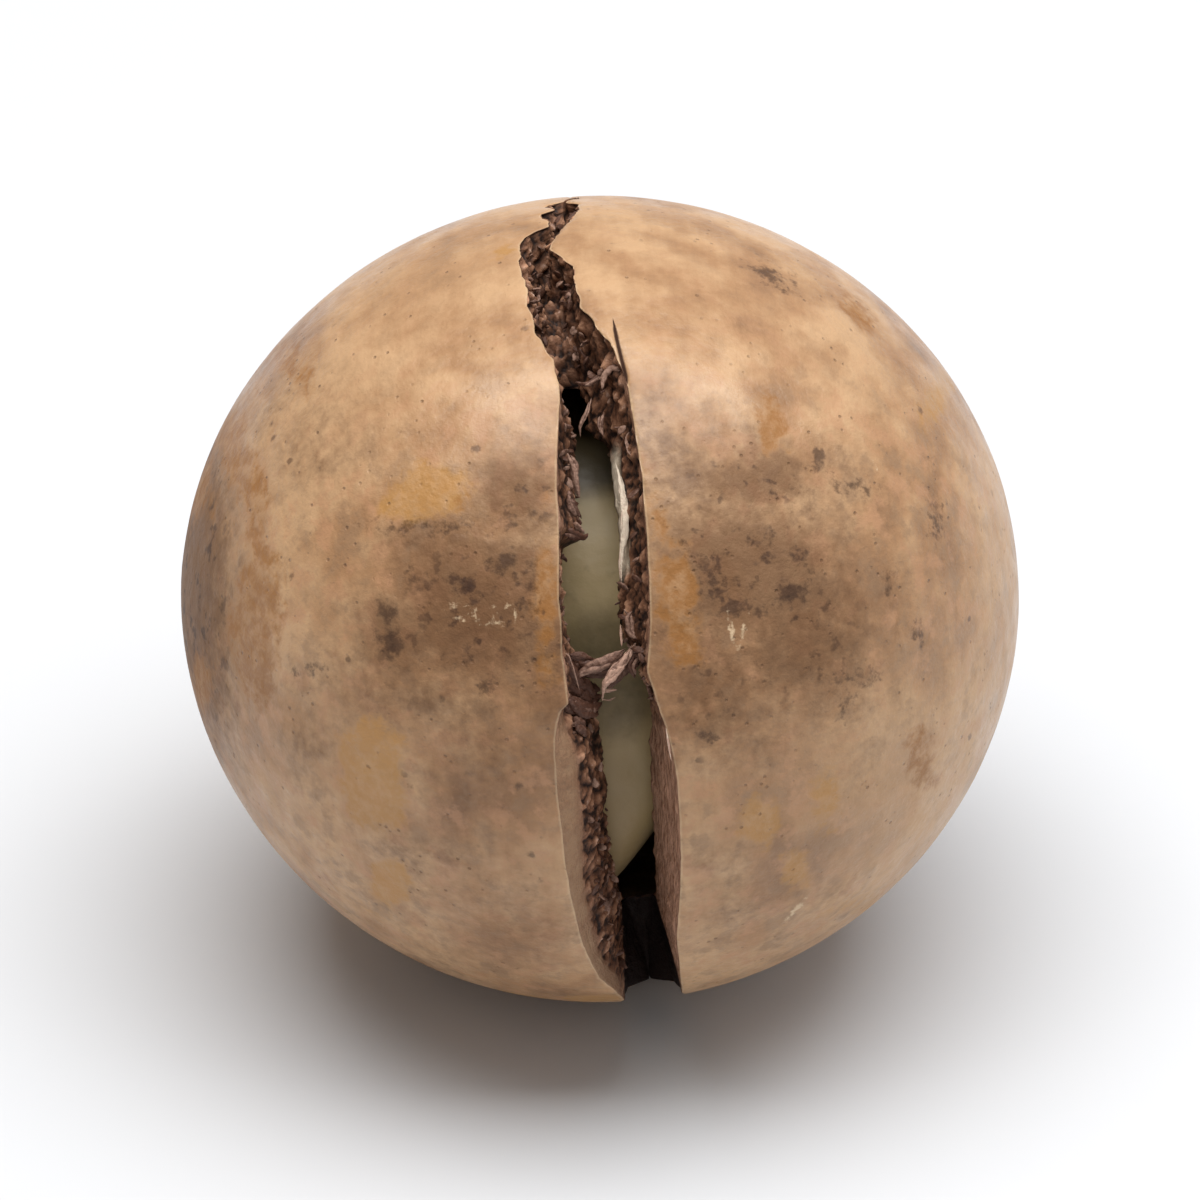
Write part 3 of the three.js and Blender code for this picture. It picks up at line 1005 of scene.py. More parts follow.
@dataclass(frozen=True)
class SkinFinish:
    """The shell's outside: smooth, waxy, mottled tan and brown."""

    pale: Colour = (0.56, 0.345, 0.185)
    tan: Colour = (0.4, 0.22, 0.108)
    brown: Colour = (0.24, 0.126, 0.062)
    peach: Colour = (0.5, 0.265, 0.14)
    ash: Colour = (0.3, 0.182, 0.102)
    amber: Colour = (0.3, 0.127, 0.03)
    straw: Colour = (0.45, 0.23, 0.07)
    dark: Colour = (0.12, 0.05, 0.018)
    speck: Colour = (0.04, 0.016, 0.008)
    cream: Colour = (0.7, 0.52, 0.33)

    def make(self) -> bpy.types.Material:
        """Builds the material."""
        r = Recipe("shell_skin")
        broad = r.noise(6.5, 3, 0.5)
        middle = r.noise(1.7, 5, 0.6)
        fine = r.noise(0.45, 4, 0.6)
        colour = self._ground(r, broad, middle)
        colour = self._shades(r, colour, middle, fine)
        colour = self._stains(r, colour, middle, fine)
        colour = self._specks(r, colour, fine)
        normal, pits = self._relief(r, broad, middle, fine)
        # Darkens the pores: partly their own darker colour, partly painted shade inside them.
        colour = r.mix(r.times(pits, 0.45), colour, self.dark)
        cracked = self._lines(r, fine)
        colour = r.mix(cracked, colour, self.speck)
        blotch = r.noise(1.1, 3, 0.6)
        shine = r.plus(r.times(blotch, 0.3), r.times(fine, 0.16))
        roughness = r.plus(r.plus(shine, 0.2), r.times(cracked, 0.5))
        waxy = r.plus(r.ease(blotch, 0.62, 0.4, 0.14), 0.14)
        unshaded = r.less(1.0, r.ease(r.attribute("shade"), 0.15, 0.85, 0.85))
        coat = r.times(r.less(1.0, cracked), r.times(waxy, unshaded))
        roughness = r.less(r.plus(roughness, 0.3), r.times(unshaded, 0.3))
        return r.finish(
            colour, roughness, normal, Specular_IOR_Level=0.3, Coat_Weight=coat, Coat_Roughness=0.17
        )

    def _ground(self, r: Recipe, broad: Socket, middle: Socket) -> Socket:
        """Mottles the skin in tans and browns, more so away from its top.

        Args:
            r: The recipe.
            broad: Broad noise.
            middle: Noise of middle size.

        Returns:
            The ground colour.
        """
        grain = r.combine(
            r.times(r.attribute("turn"), 0.42),
            r.times(r.attribute("swing"), 1.1),
            r.times(r.attribute("swell"), 1.1),
        )
        streak = r.noise(1.0, 5, 0.62, grain)
        tone = r.plus(r.times(broad, 0.5), r.times(middle, 0.4))
        tone = r.plus(tone, r.times(streak, 0.1))
        colour = r.ramp(
            tone, [(0.36, self.brown), (0.46, self.tan), (0.56, self.pale), (0.7, self.pale)]
        )
        mottled = r.less(1.0, r.ease(r.attribute("swell"), 0.3, 0.8, 0.75))
        hue = r.noise(0.95, 4, 0.62, r.shifted((13.0, 5.0, 2.0)))
        warm = r.times(r.ease(hue, 0.5, 0.64, 0.6), mottled)
        cool = r.times(r.ease(hue, 0.49, 0.34, 0.55), mottled)
        return r.mix(cool, r.mix(warm, colour, self.peach), self.ash)

    def _shades(self, r: Recipe, colour: Socket, middle: Socket, fine: Socket) -> Socket:
        """Lightens the places of the light marks, which is painted light, and darkens those of the
        shade marks: weathered dark zones and painted shade.

        Args:
            r: The recipe.
            colour: The colour so far.
            middle: Noise of middle size.
            fine: Fine noise.

        Returns:
            The shaded colour.
        """
        # Painted light: the light marks pale the colour.
        colour = r.mix(r.times(r.attribute("light"), 0.75), colour, self.pale)
        # Shade marks darken the colour: weathered dark zones, and painted shade.
        shade = r.attribute("shade")
        broken = r.plus(r.times(middle, 1.2), r.times(fine, 0.8))
        depth = r.plus(shade, r.less(broken, 1.0))
        dark = r.times(r.ease(depth, 0.05, 0.95), r.ease(shade, 0.0, 0.3))
        colour = r.mix(r.times(dark, 0.78), colour, self.dark)
        spot = r.noise(0.6, 3, 0.6, r.shifted((3.0, 21.0, 8.0)))
        spots = r.times(r.ease(spot, 0.56, 0.68, 0.7), r.ease(shade, 0.35, 0.9))
        return r.mix(spots, colour, self.speck)

    def _stains(self, r: Recipe, colour: Socket, middle: Socket, fine: Socket) -> Socket:
        """Lays the amber and straw-coloured patches.

        Args:
            r: The recipe.
            colour: The colour so far.
            middle: Noise of middle size.
            fine: Fine noise.

        Returns:
            The colour with its patches.
        """
        waver = r.less(r.plus(middle, r.times(fine, 0.6)), 0.8)
        for name, tint, share in (("blond", self.straw, 0.8), ("stain", self.amber, 0.85)):
            edge = r.plus(r.attribute(name), r.times(waver, 1.2))
            patch = r.ease(edge, 0.16, -0.2)
            tint = r.mix(r.ease(fine, 0.38, 0.7, 0.5), tint, self.pale)
            colour = r.mix(r.times(patch, share), colour, tint)
        return colour

    def _specks(self, r: Recipe, colour: Socket, fine: Socket) -> Socket:
        """Adds specks, pale strokes and the paler edge of the lips.

        Args:
            r: The recipe.
            colour: The colour so far.
            fine: Fine noise.

        Returns:
            The colour with its small marks.
        """
        waver = r.less(fine, 0.5)
        tiny = r.less(r.noise(0.2, 3, 0.65), 0.5)
        ragged = r.plus(r.times(waver, 1.3), r.times(tiny, 0.6))
        edge = r.plus(r.attribute("speck"), ragged)
        colour = r.mix(r.ease(edge, 0.16, -0.22, 0.72), colour, self.speck)
        scatter = r.cells(1.15)
        small = r.ease(r.plus(scatter, r.times(waver, 0.5)), 0.14, 0.04)
        some = r.ease(r.noise(3.1, 2), 0.52, 0.62)
        small = r.times(small, some)
        colour = r.mix(r.times(small, 0.6), colour, self.speck)
        # Stroke marks: pale scratches, partly painted highlight as glints.
        pale = r.plus(r.attribute("stroke"), r.times(tiny, 0.25))
        colour = r.mix(r.ease(pale, 0.04, -0.04, 0.8), colour, self.cream)
        lip = r.plus(r.attribute("lip"), r.times(waver, 0.08))
        return r.mix(r.ease(lip, 0.08, 0.02, 0.3), colour, self.cream)

    def _lines(self, r: Recipe, fine: Socket) -> Socket:
        """Finds the fine lines of the cracks.

        Args:
            r: The recipe.
            fine: Fine noise.

        Returns:
            1 on a line, falling to 0 beside it.
        """
        waver = r.times(r.less(fine, 0.5), 0.05)
        offset = r.size_of(r.plus(r.attribute("line"), waver))
        lined = r.attribute("lined")
        wide, narrow = (r.times(lined, reach) for reach in (0.1, 0.03))
        return r.times(r.ease(offset, wide, narrow), r.ease(lined, 0.0, 0.3))

    def _relief(
        self, r: Recipe, broad: Socket, middle: Socket, fine: Socket
    ) -> tuple[Socket, Socket]:
        """Adds shallow waves, pores and pits.

        Args:
            r: The recipe.
            broad: Broad noise.
            middle: Noise of middle size.
            fine: Fine noise.

        Returns:
            The normal, and how deep in a pit a place is.
        """
        normal = r.bump(middle, 0.17, r.bump(broad, 0.3))
        normal = r.bump(fine, 0.035, normal)
        pore = r.cells(0.36)
        kept = r.ease(r.noise(0.9, 2), 0.5, 0.62)
        pits = r.times(r.ease(pore, 0.22, 0.06), kept)
        normal = r.bump(r.less(1.0, pits), 0.035, normal)
        scuff = r.times(r.ease(r.attribute("shade"), 0.45, 0.95), r.noise(0.3, 3, 0.7))
        return r.bump(scuff, 0.035, normal), pits


@dataclass(frozen=True)
class BreakFinish:
    """The walls of the slit: crumbly dark brown, with sawn stretches and pale fibres."""

    # deep is a near-black painted shade, used in the creases between grains and at the slit's foot.
    deep: Colour = (0.02, 0.008, 0.005)
    bark: Colour = (0.2, 0.088, 0.045)
    rust: Colour = (0.6, 0.32, 0.19)
    chalk: Colour = (0.8, 0.57, 0.45)
    sawn: Colour = (0.62, 0.35, 0.23)
    band: Colour = (0.34, 0.2, 0.11)
    cream: Colour = (0.95, 0.8, 0.6)

    def make(self) -> bpy.types.Material:
        """Builds the material."""
        r = Recipe("shell_break")
        fine = r.noise(0.16, 4, 0.65)
        middle = r.noise(0.55, 4, 0.6)
        grain = r.combine(
            r.times(r.attribute("arc"), 0.9),
            r.times(r.attribute("share"), 26.0),
            r.times(r.attribute("turn"), 1.4),
        )
        streak = r.noise(1.0, 4, 0.6, grain)
        crumb = r.attribute("crumb")
        tone = r.plus(r.times(crumb, 0.7), r.times(middle, 0.45))
        tone = r.plus(tone, r.times(fine, 0.2))
        # Painted shade: the creases between grains go near-black, and the grains' tops are
        # rust-coloured.
        crumbly = r.ramp(tone, [(0.4, self.deep), (0.58, self.bark), (0.9, self.rust)])
        patch = r.noise(0.35, 3, 0.6)
        flecks = r.times(r.ease(patch, 0.56, 0.68), r.ease(crumb, 0.3, 0.7))
        crumbly = r.mix(r.times(flecks, 0.7), crumbly, self.chalk)
        sawn = r.mix(r.ease(streak, 0.35, 0.68), self.bark, self.sawn)
        sawn = r.mix(r.ease(fine, 0.6, 0.75, 0.35), sawn, self.chalk)
        colour = r.mix(r.attribute("sawn"), crumbly, sawn)
        band = r.mix(r.ease(middle, 0.35, 0.65, 0.4), self.band, self.bark)
        band = r.mix(r.ease(r.attribute("share"), 0.1, 0.22, 0.6), band, self.bark)
        colour = r.mix(r.attribute("bevel"), colour, band)
        colour = r.mix(r.attribute("rim"), colour, self.cream)
        # Painted shade: the walls near the slit's foot go near-black.
        colour = r.mix(r.attribute("soot"), colour, self.deep)
        normal = r.bump(middle, 0.12)
        normal = r.bump(fine, 0.06, normal)
        normal = r.bump(r.times(streak, r.attribute("sawn")), 0.06, normal)
        roughness = r.plus(r.times(fine, 0.3), 0.5)
        return r.finish(colour, roughness, normal, Specular_IOR_Level=0.4)


@dataclass(frozen=True)
class LiningFinish:
    """The inside of the shell: smooth brown with paler clouds."""

    brown: Colour = (0.12, 0.066, 0.038)
    pale: Colour = (0.3, 0.2, 0.12)

    def make(self) -> bpy.types.Material:
        """Builds the material."""
        r = Recipe("shell_lining")
        cloud = r.noise(3.0, 4)
        fine = r.noise(0.4, 3)
        colour = r.mix(r.ease(cloud, 0.42, 0.66), self.brown, self.pale)
        colour = r.mix(r.ease(fine, 0.5, 0.8, 0.4), colour, self.brown)
        roughness = r.plus(r.times(fine, 0.2), 0.3)
        return r.finish(colour, roughness, r.bump(fine, 0.04), Specular_IOR_Level=0.5)


@dataclass(frozen=True)
class KernelFinish:
    """The kernel: firm, oily and cream-coloured, faintly green."""

    cream: Colour = (0.59, 0.44, 0.228)
    olive: Colour = (0.51, 0.38, 0.182)
    low_brown: Colour = (0.47, 0.325, 0.15)
    scuffed: Colour = (0.28, 0.2, 0.1)
    shadowed: Colour = (0.065, 0.045, 0.018)

    def make(self) -> bpy.types.Material:
        """Builds the material."""
        r = Recipe("kernel_flesh")
        cloud = r.noise(3.2, 3)
        fine = r.noise(0.5, 4)
        colour = r.mix(r.ease(cloud, 0.35, 0.65), self.olive, self.cream)
        colour = r.mix(r.ease(fine, 0.58, 0.8, 0.35), colour, self.scuffed)
        # Darker and browner towards the flat base on the lower right.
        colour = r.mix(r.times(r.attribute("low"), 0.8), colour, self.low_brown)
        colour = r.mix(r.ease(r.attribute("base"), 0.35, 0.9, 0.6), colour, self.scuffed)
        waver = r.times(r.less(fine, 0.5), 0.3)
        covered = r.plus(r.attribute("covered"), waver)
        # Painted shade on the kernel's top and on a band near the strands.
        colour = r.mix(r.ease(covered, 0.05, 1.0, 0.93), colour, self.shadowed)
        normal = r.bump(fine, 0.03, r.bump(cloud, 0.15))
        roughness = r.plus(r.times(fine, 0.25), 0.32)
        return r.finish(colour, roughness, normal, Specular_IOR_Level=0.45)


@dataclass(frozen=True)
class FibreFinish:
    """Torn strands and crumbs of shell, from dark brown to pinkish straw."""

    dark: Colour = (0.09, 0.036, 0.02)
    straw: Colour = (0.6, 0.37, 0.27)
    cream: Colour = (0.95, 0.8, 0.62)

    def make(self) -> bpy.types.Material:
        """Builds the material."""
        r = Recipe("torn_fibre")
        fine = r.noise(0.12, 3, 0.6)
        tone = r.plus(r.attribute("tone"), r.times(r.less(fine, 0.5), 0.9))
        colour = r.mix(r.ease(tone, 0.0, 1.0), self.dark, self.straw)
        colour = r.mix(r.ease(tone, 1.2, 1.8), colour, self.cream)
        roughness = r.plus(r.times(fine, 0.3), 0.45)
        return r.finish(colour, roughness, r.bump(fine, 0.05), Specular_IOR_Level=0.4)


@dataclass(frozen=True)
class ScarFinish:
    """The hilum's scar: rough, corky and grey-tan."""

    cork: Colour = (0.26, 0.145, 0.077)
    ash: Colour = (0.4, 0.255, 0.155)
    pit: Colour = (0.06, 0.03, 0.016)

    def make(self) -> bpy.types.Material:
        """Builds the material."""
        r = Recipe("hilum_scar")
        fine = r.noise(0.2, 4, 0.65)
        middle = r.noise(0.8, 3)
        colour = r.mix(r.ease(middle, 0.35, 0.7), self.cork, self.ash)
        hollow = r.plus(r.attribute("pit"), r.times(r.less(fine, 0.5), 0.8))
        # Painted shade: dark in the creases between grains and round the edge where the scar sinks
        # into the skin.
        colour = r.mix(r.ease(hollow, 0.25, 0.85), colour, self.pit)
        roughness = r.plus(r.times(fine, 0.2), 0.7)
        return r.finish(colour, roughness, r.bump(fine, 0.08), Specular_IOR_Level=0.3)


@dataclass(frozen=True)
class FloorFinish:
    """A plain pale floor."""

    colour: Colour = (0.7, 0.715, 0.735)
    fleck: Colour = (0.67, 0.685, 0.705)

    def make(self) -> bpy.types.Material:
        """Builds the material."""
        r = Recipe("floor_paper")
        fine = r.noise(2.0, 2)
        colour = r.mix(r.ease(fine, 0.3, 0.7, 0.02), self.colour, self.fleck)
        return r.finish(colour, 0.9, r.bump(fine, 0.005), Specular_IOR_Level=0.2)


@dataclass
class Shell:
    """The shell as one closed mesh: skin, slit walls and lining."""

    form: NutForm
    slit: Slit
    fine_columns: int = 560
    back_columns: int = 160
    fine_from: float = 92.0
    fine_to: float = -112.0
    wall_rows: int = 30
    floor_points: int = 11
    fine_rings: tuple[float, ...] = (0.18, 0.45, 0.8, 1.2, 1.65, 2.2, 2.8, 3.5, 4.3)
    middle_rings: tuple[float, ...] = tuple(5.1 + 0.85 * k for k in range(29))
    outer_rings: tuple[float, ...] = tuple(30.4 + 1.55 * k for k in range(38))
    lining_fine: tuple[float, ...] = (0.9, 2.0, 3.3, 4.8)
    lining_coarse: tuple[float, ...] = tuple(6.8 + 2.9 * k for k in range(28))
    lip_round: float = 0.05
    groove_depth: float = 0.08
    groove_width: float = 0.09
    wave_height: float = 0.02
    chip_depth: float = 0.06
    halo_size: tuple[float, float] = (3.0, 3.5)
    halo_strength: float = 0.55
    grit: Grit = field(default_factory=lambda: Grit(3))

    def __post_init__(self) -> None:
        """Lays out the columns along the slit and places its edges."""
        fine = np.linspace(self.fine_from, self.fine_to, self.fine_columns, endpoint=False)
        back = np.linspace(
            self.fine_to, self.fine_from - 360, self.back_columns, endpoint=False
        )
        self.angle = np.concatenate([fine, back])
        wrapped = np.where(self.angle < -180, self.angle + 360, self.angle)
        self.wrapped = wrapped
        left, right, deep_left, deep_right = self.slit.edges(wrapped)
        self.is_open = (wrapped < self.slit.top) & (wrapped > self.slit.foot)
        middle, _ = self.slit.line(wrapped)
        seam = np.where(self.is_open, 0.0, middle)
        gap = np.maximum(right - left, 0.06)
        midst = (left + right) / 2
        self.lip = {
            Side.LEFT: np.where(self.is_open, midst - gap / 2, seam),
            Side.RIGHT: np.where(self.is_open, midst + gap / 2, seam),
        }
        deep_gap = np.maximum(deep_right - deep_left, 0.12)
        deep_midst = (deep_left + deep_right) / 2
        self.deep = {
            Side.LEFT: np.where(self.is_open, deep_midst - deep_gap / 2, seam),
            Side.RIGHT: np.where(self.is_open, deep_midst + deep_gap / 2, seam),
        }
        high, low = self.slit.through
        self.is_through = self.is_open & (wrapped < high) & (wrapped > low)
        self.cut = along(self.slit.cut, wrapped)
        hilum = tuple(float(x) for x in self.form.hilum)
        halo = Mark(MarkKind.SHADE, 0, 0, *self.halo_size, 0, self.halo_strength, hilum)
        self.marks = [*front_marks(), *hidden_marks(self.form), halo]

    def _skin_points(self, maker: MeshMaker, side: Side, nominal: float, every: int) -> Array:
        """Adds one ring of the skin.

        Args:
            maker: Collects the mesh.
            side: Which side of the slit.
            nominal: Degrees from the lip.
            every: Uses every so many columns.

        Returns:
            The ring's point numbers.
        """
        angle, wrapped = self.angle[::every], self.wrapped[::every]
        edge = self.form.turn_of(self.lip[side][::every])
        share = nominal / 90
        turn = edge + (90 * side.value - edge) * share
        way = self.form.direction(angle, turn)
        offset = np.radians(turn) * self.form.radius
        from_lip = np.abs(turn - edge) * math.radians(self.form.radius)
        beyond = np.radians(
            np.maximum(np.maximum(wrapped - self.slit.top, self.slit.foot - wrapped), 0)
        )
        beyond = np.where(self.is_open[::every], 0.0, beyond) * self.form.radius
        to_lip = np.hypot(from_lip, beyond)
        middle, lined = self.slit.line(wrapped)
        line = offset - middle
        radius = self.form.skin(way)
        points = way * radius[:, None]
        gap = self.lip[Side.RIGHT][::every] - self.lip[Side.LEFT][::every]
        shut = ease(gap, 0.05, 0.4)
        rounding = self.lip_round * np.clip(1 - from_lip / 0.16, 0, 1) ** 2 * shut
        groove = self.groove_depth * np.exp(-((line / self.groove_width) ** 2)) * lined
        waves = self.wave_height * self.grit.layered(points, 2.6, 3)
        chips = self.chip_depth * shut * np.clip(1 - from_lip / 0.3, 0, 1)
        chips = chips * np.maximum(self.grit.layered(points, 0.5, 2), 0)
        radius = radius + waves - rounding - groove - chips
        return maker.add(
            self.form.centre + way * radius[:, None],
            lip=np.minimum(to_lip, 5.0),
            line=line,
            lined=lined,
            turn=turn,
            swing=np.cos(np.radians(angle)),
            swell=np.sin(np.radians(angle)),
            arc=np.radians(angle) * self.form.radius,
            sawn=self.slit.sawn(wrapped),
            bevel=self.slit.bevel(wrapped) * (side is Side.LEFT),
            soot=self.slit.soot(wrapped),
            crumb=0.6,
            **{kind.value: mark_field(self.form, self.marks, kind, way) for kind in MarkKind},
        )

    def _wall_profile(self, side: Side, share: float) -> Array:
        """Places a row of the slit's wall across the slit.

        Args:
            side: Which wall.
            share: How far down the wall, from 0 at the lip to 1.

        Returns:
            Distances across the slit, one for each column.
        """
        if side is Side.RIGHT:
            flared = share**1.5
        else:
            step = 0.3 + 0.2 * ease(self.wrapped, -60, -24)
            past = max(share - 0.2, 0.0) / 0.8
            stepped = step * min(share / 0.2, 1.0) + (1 - step) * past**0.9
            flared = share + (stepped - share) * self.slit.bevel(self.wrapped)
        return self.lip[side] + (self.deep[side] - self.lip[side]) * flared

    def _wall_points(self, maker: MeshMaker, side: Side, share: float) -> Array:
        """Adds one row of the slit's wall.

        Args:
            maker: Collects the mesh.
            side: Which wall.
            share: How far down the wall, from 0 at the lip to 1.

        Returns:
            Point numbers, one for each column; those of closed columns go unused.
        """
        form, wrapped = self.form, self.wrapped
        offset = self._wall_profile(side, share)
        way = form.direction(self.angle, form.turn_of(offset))
        thick = form.skin(way) - form.cavity(way)
        depth = thick * self.cut * share
        base = form.centre + way * (form.skin(way) - depth)[:, None]
        sawn = self.slit.sawn(wrapped)
        if side is Side.LEFT:
            bevel = self.slit.bevel(wrapped) * float(ease(share, 0.24, 0.16))
            smooth = sawn * np.maximum(ease(share, 0.16, 0.08) * 0.8, bevel)
        else:
            bevel = np.zeros_like(wrapped)
            lower = ease(wrapped, -16, -26)
            smooth = sawn * np.maximum(lower * 0.85, float(ease(share, 0.2, 0.08)) * 0.7)
        crumb = self._crumbs(base)
        rough = self.grit.layered(base, 0.9, 3)
        rim = ease(share, 0.66, 0.8) * ease(wrapped, 2, 6) * ease(wrapped, 28, 24)
        rim = rim * (1.0 if side is Side.RIGHT else 0.0)
        reach = (0.3 + 0.1 * (1 - sawn)) * (1 - 0.85 * np.maximum(smooth, rim))
        reach = reach * float(ease(share, 0.0, 0.1)) * (0.35 + 0.65 * ease(wrapped, -88, -66))
        shift = -side.value * reach * (0.9 * (crumb - 0.45) + 0.7 * rough)
        shift *= ease(np.abs(self.lip[Side.RIGHT] - self.lip[Side.LEFT]), 0.0, 0.6)
        moved = offset + shift
        midst = (self.deep[Side.LEFT] + self.deep[Side.RIGHT]) / 2
        lips = (self.lip[Side.LEFT] + self.lip[Side.RIGHT]) / 2
        halfway = lips + (midst - lips) * share
        limit = halfway + side.value * 0.03
        moved = np.minimum(moved, limit) if side is Side.LEFT else np.maximum(moved, limit)
        way = form.direction(self.angle, form.turn_of(moved))
        sink = 0.0 if share == 1.0 else 0.4 * reach * self.grit.layered(base + 31.0, 0.6, 2)
        radius = form.skin(way) - (form.skin(way) - form.cavity(way)) * self.cut * share - sink
        return maker.add(
            form.centre + way * radius[:, None],
            share=share,
            sawn=smooth,
            bevel=bevel,
            rim=rim,
            crumb=crumb,
            soot=self.slit.soot(wrapped),
            turn=form.turn_of(moved),
            arc=np.radians(self.angle) * form.radius,
        )

    def _crumbs(self, points: Array) -> Array:
        """Gives grains of two sizes, from 0 in the creases to 1."""
        bent = [self.grit.layered(points + 13.0 * k, 0.7, 2) for k in range(3)]
        points = points + 0.22 * np.stack(bent, axis=1)
        return 0.6 * self.grit.crumbs(points, 0.62) + 0.4 * self.grit.crumbs(points + 7.0, 0.28)

    def _floor_points(self, maker: MeshMaker, share: float) -> Array:
        """Adds one row of the floor of the part of the slit that is only a groove.

        Args:
            maker: Collects the mesh.
            share: How far across, from the left wall to the right.

        Returns:
            Point numbers, one for each column.
        """
        form = self.form
        offset = self.deep[Side.LEFT] + (self.deep[Side.RIGHT] - self.deep[Side.LEFT]) * share
        way = form.direction(self.angle, form.turn_of(offset))
        thick = form.skin(way) - form.cavity(way)
        base = form.centre + way * form.skin(way)[:, None]
        crumb = self._crumbs(base)
        rough = self.grit.layered(base, 0.9)
        lift = ease(self.cut, 0.1, 0.35) * (0.6 * (crumb - 0.4) + 0.5 * rough)
        depth = np.clip(thick * self.cut - lift, 0.05, thick * 0.97)
        return maker.add(
            form.centre + way * (form.skin(way) - depth)[:, None],
            share=1.0,
            crumb=crumb,
            soot=self.slit.soot(self.wrapped),
            turn=form.turn_of(offset),
            arc=np.radians(self.angle) * form.radius,
        )

    def _lining_points(self, maker: MeshMaker, turn: Array, every: int) -> Array:
        """Adds a row of points on the inside of the shell.

        Args:
            maker: Collects the mesh.
            turn: Degrees from the slit's plane.
            every: Uses every so many columns.

        Returns:
            Point numbers.
        """
        way = self.form.direction(self.angle[::every], turn)
        return maker.add(self.form.centre + way * self.form.cavity(way)[:, None])

    def _spread(
        self, maker: MeshMaker, rows: Sequence[tuple[Array, int]], pole: Array, slot: Zone
    ) -> None:
        """Fills between rings, from the slit's edge to the pole.

        Args:
            maker: Collects the mesh.
            rows: Rings as point numbers and the share of columns that they use.
            pole: The single point where the rings end.
            slot: The surface that this is.
        """
        for (near, every), (far, next_every) in zip(rows, rows[1:]):
            if every == next_every:
                maker.strip(near, far, slot.value, True)
            else:
                maker.halve(near, far, slot.value)
        last = rows[-1][0]
        maker.fan(int(pole[0]), [*last, last[0]], slot.value)

    def _skin(self, maker: MeshMaker, side: Side, lips: Array) -> None:
        """Fills one side's skin.

        Args:
            maker: Collects the mesh.
            side: Which side.
            lips: Point numbers of the edge.
        """
        rows = [(lips, 1)]
        for every, rings in ((1, self.fine_rings), (2, self.middle_rings), (4, self.outer_rings)):
            rows += [(self._skin_points(maker, side, ring, every), every) for ring in rings]
        pole = self._skin_points(maker, side, 90.0, len(self.angle))
        self._spread(maker, rows, pole, Zone.SKIN)

    def _lining(self, maker: MeshMaker, side: Side, edge: Array, turns: Array) -> None:
        """Fills one side's lining.

        Args:
            maker: Collects the mesh.
            side: Which side.
            edge: Point numbers of its edge.
            turns: The edge's degrees from the slit's plane.
        """
        rows = [(edge, 1)]
        for every, rings in ((2, self.lining_fine), (4, self.lining_coarse)):
            for ring in rings:
                turn = turns[::every] + (90 * side.value - turns[::every]) * ring / 90
                rows.append((self._lining_points(maker, turn, every), every))
        pole = self._lining_points(maker, np.array([90.0 * side.value]), len(self.angle))
        self._spread(maker, rows, pole, Zone.LINING)

    def _walls(
        self, maker: MeshMaker, lips: dict[Side, Array]
    ) -> tuple[dict[Side, list[Array]], list[Array]]:
        """Fills the slit's walls and the floor of its groove.

        Args:
            maker: Collects the mesh.
            lips: Point numbers of the two lips.

        Returns:
            The rows of each wall from the lip down, and the rows of the floor.
        """
        rows = {side: [lips[side]] for side in Side}
        for side in Side:
            for k in range(1, self.wall_rows + 1):
                share = (k / self.wall_rows) ** 1.15
                rows[side].append(self._wall_points(maker, side, share))
        parts = self.floor_points + 1
        floor = [self._floor_points(maker, k / parts) for k in range(1, parts)]
        columns = np.flatnonzero(self.is_open)
        for a, b in zip(columns, columns[1:]):
            for side in Side:
                for upper, lower in zip(rows[side], rows[side][1:]):
                    maker.face((upper[a], upper[b], lower[b], lower[a]), Zone.BREAK.value)
            if not self.is_through[a] and not self.is_through[b]:
                under = [rows[Side.LEFT][-1], *floor, rows[Side.RIGHT][-1]]
                for left, right in zip(under, under[1:]):
                    maker.face((left[a], left[b], right[b], right[a]), Zone.BREAK.value)
        for outer, inner in ((columns[0] - 1, columns[0]), (columns[-1] + 1, columns[-1])):
            profile = self._profile(rows, floor, inner)
            maker.fan(int(lips[Side.LEFT][outer]), profile, Zone.BREAK.value)
        return rows, floor

    def _profile(self, rows: dict[Side, list[Array]], floor: list[Array], column: int) -> list[int]:
        """Lists the points across the groove at one column, from lip to lip."""
        left = [int(row[column]) for row in rows[Side.LEFT]]
        right = [int(row[column]) for row in reversed(rows[Side.RIGHT])]
        return [*left, *(int(row[column]) for row in floor), *right]

    def build(self, finishes: Sequence[bpy.types.Material]) -> bpy.types.Object:
        """Makes the shell.

        Args:
            finishes: Materials for the skin, the break and the lining.

        Returns:
            The shell's object.
        """
        carried = ["lip", "line", "lined", "turn", "swing", "swell", "share", "sawn", "bevel"]
        carried += ["arc", "rim", "crumb", "soot", *(kind.value for kind in MarkKind)]
        maker = MeshMaker(carried)
        lips = {side: self._skin_points(maker, side, 0.0, 1) for side in Side}
        lips[Side.RIGHT] = np.where(self.is_open, lips[Side.RIGHT], lips[Side.LEFT])
        for side in Side:
            self._skin(maker, side, lips[side])
        rows, floor = self._walls(maker, lips)
        midst = (self.deep[Side.LEFT] + self.deep[Side.RIGHT]) / 2
        seam = self.form.turn_of(np.where(self.is_open, midst, self.lip[Side.LEFT]))
        seam_points = self._lining_points(maker, seam, 1)
        for side in Side:
            edge = np.where(self.is_through, rows[side][-1], seam_points)
            turns = np.where(self.is_through, self.form.turn_of(self.deep[side]), seam)
            self._lining(maker, side, edge, turns)
        through = np.flatnonzero(self.is_through)
        left, right = rows[Side.LEFT][-1], rows[Side.RIGHT][-1]
        for inner, outer in ((through[0], through[0] - 1), (through[-1], through[-1] + 1)):
            across = [row[outer] for row in (left, *floor, right)]
            rim = [left[inner], *across, right[inner]]
            maker.fan(int(seam_points[outer]), rim, Zone.BREAK.value)
        piece = maker.build("nut_shell", finishes, self._settle)
        drop_loose_points(piece)
        return piece

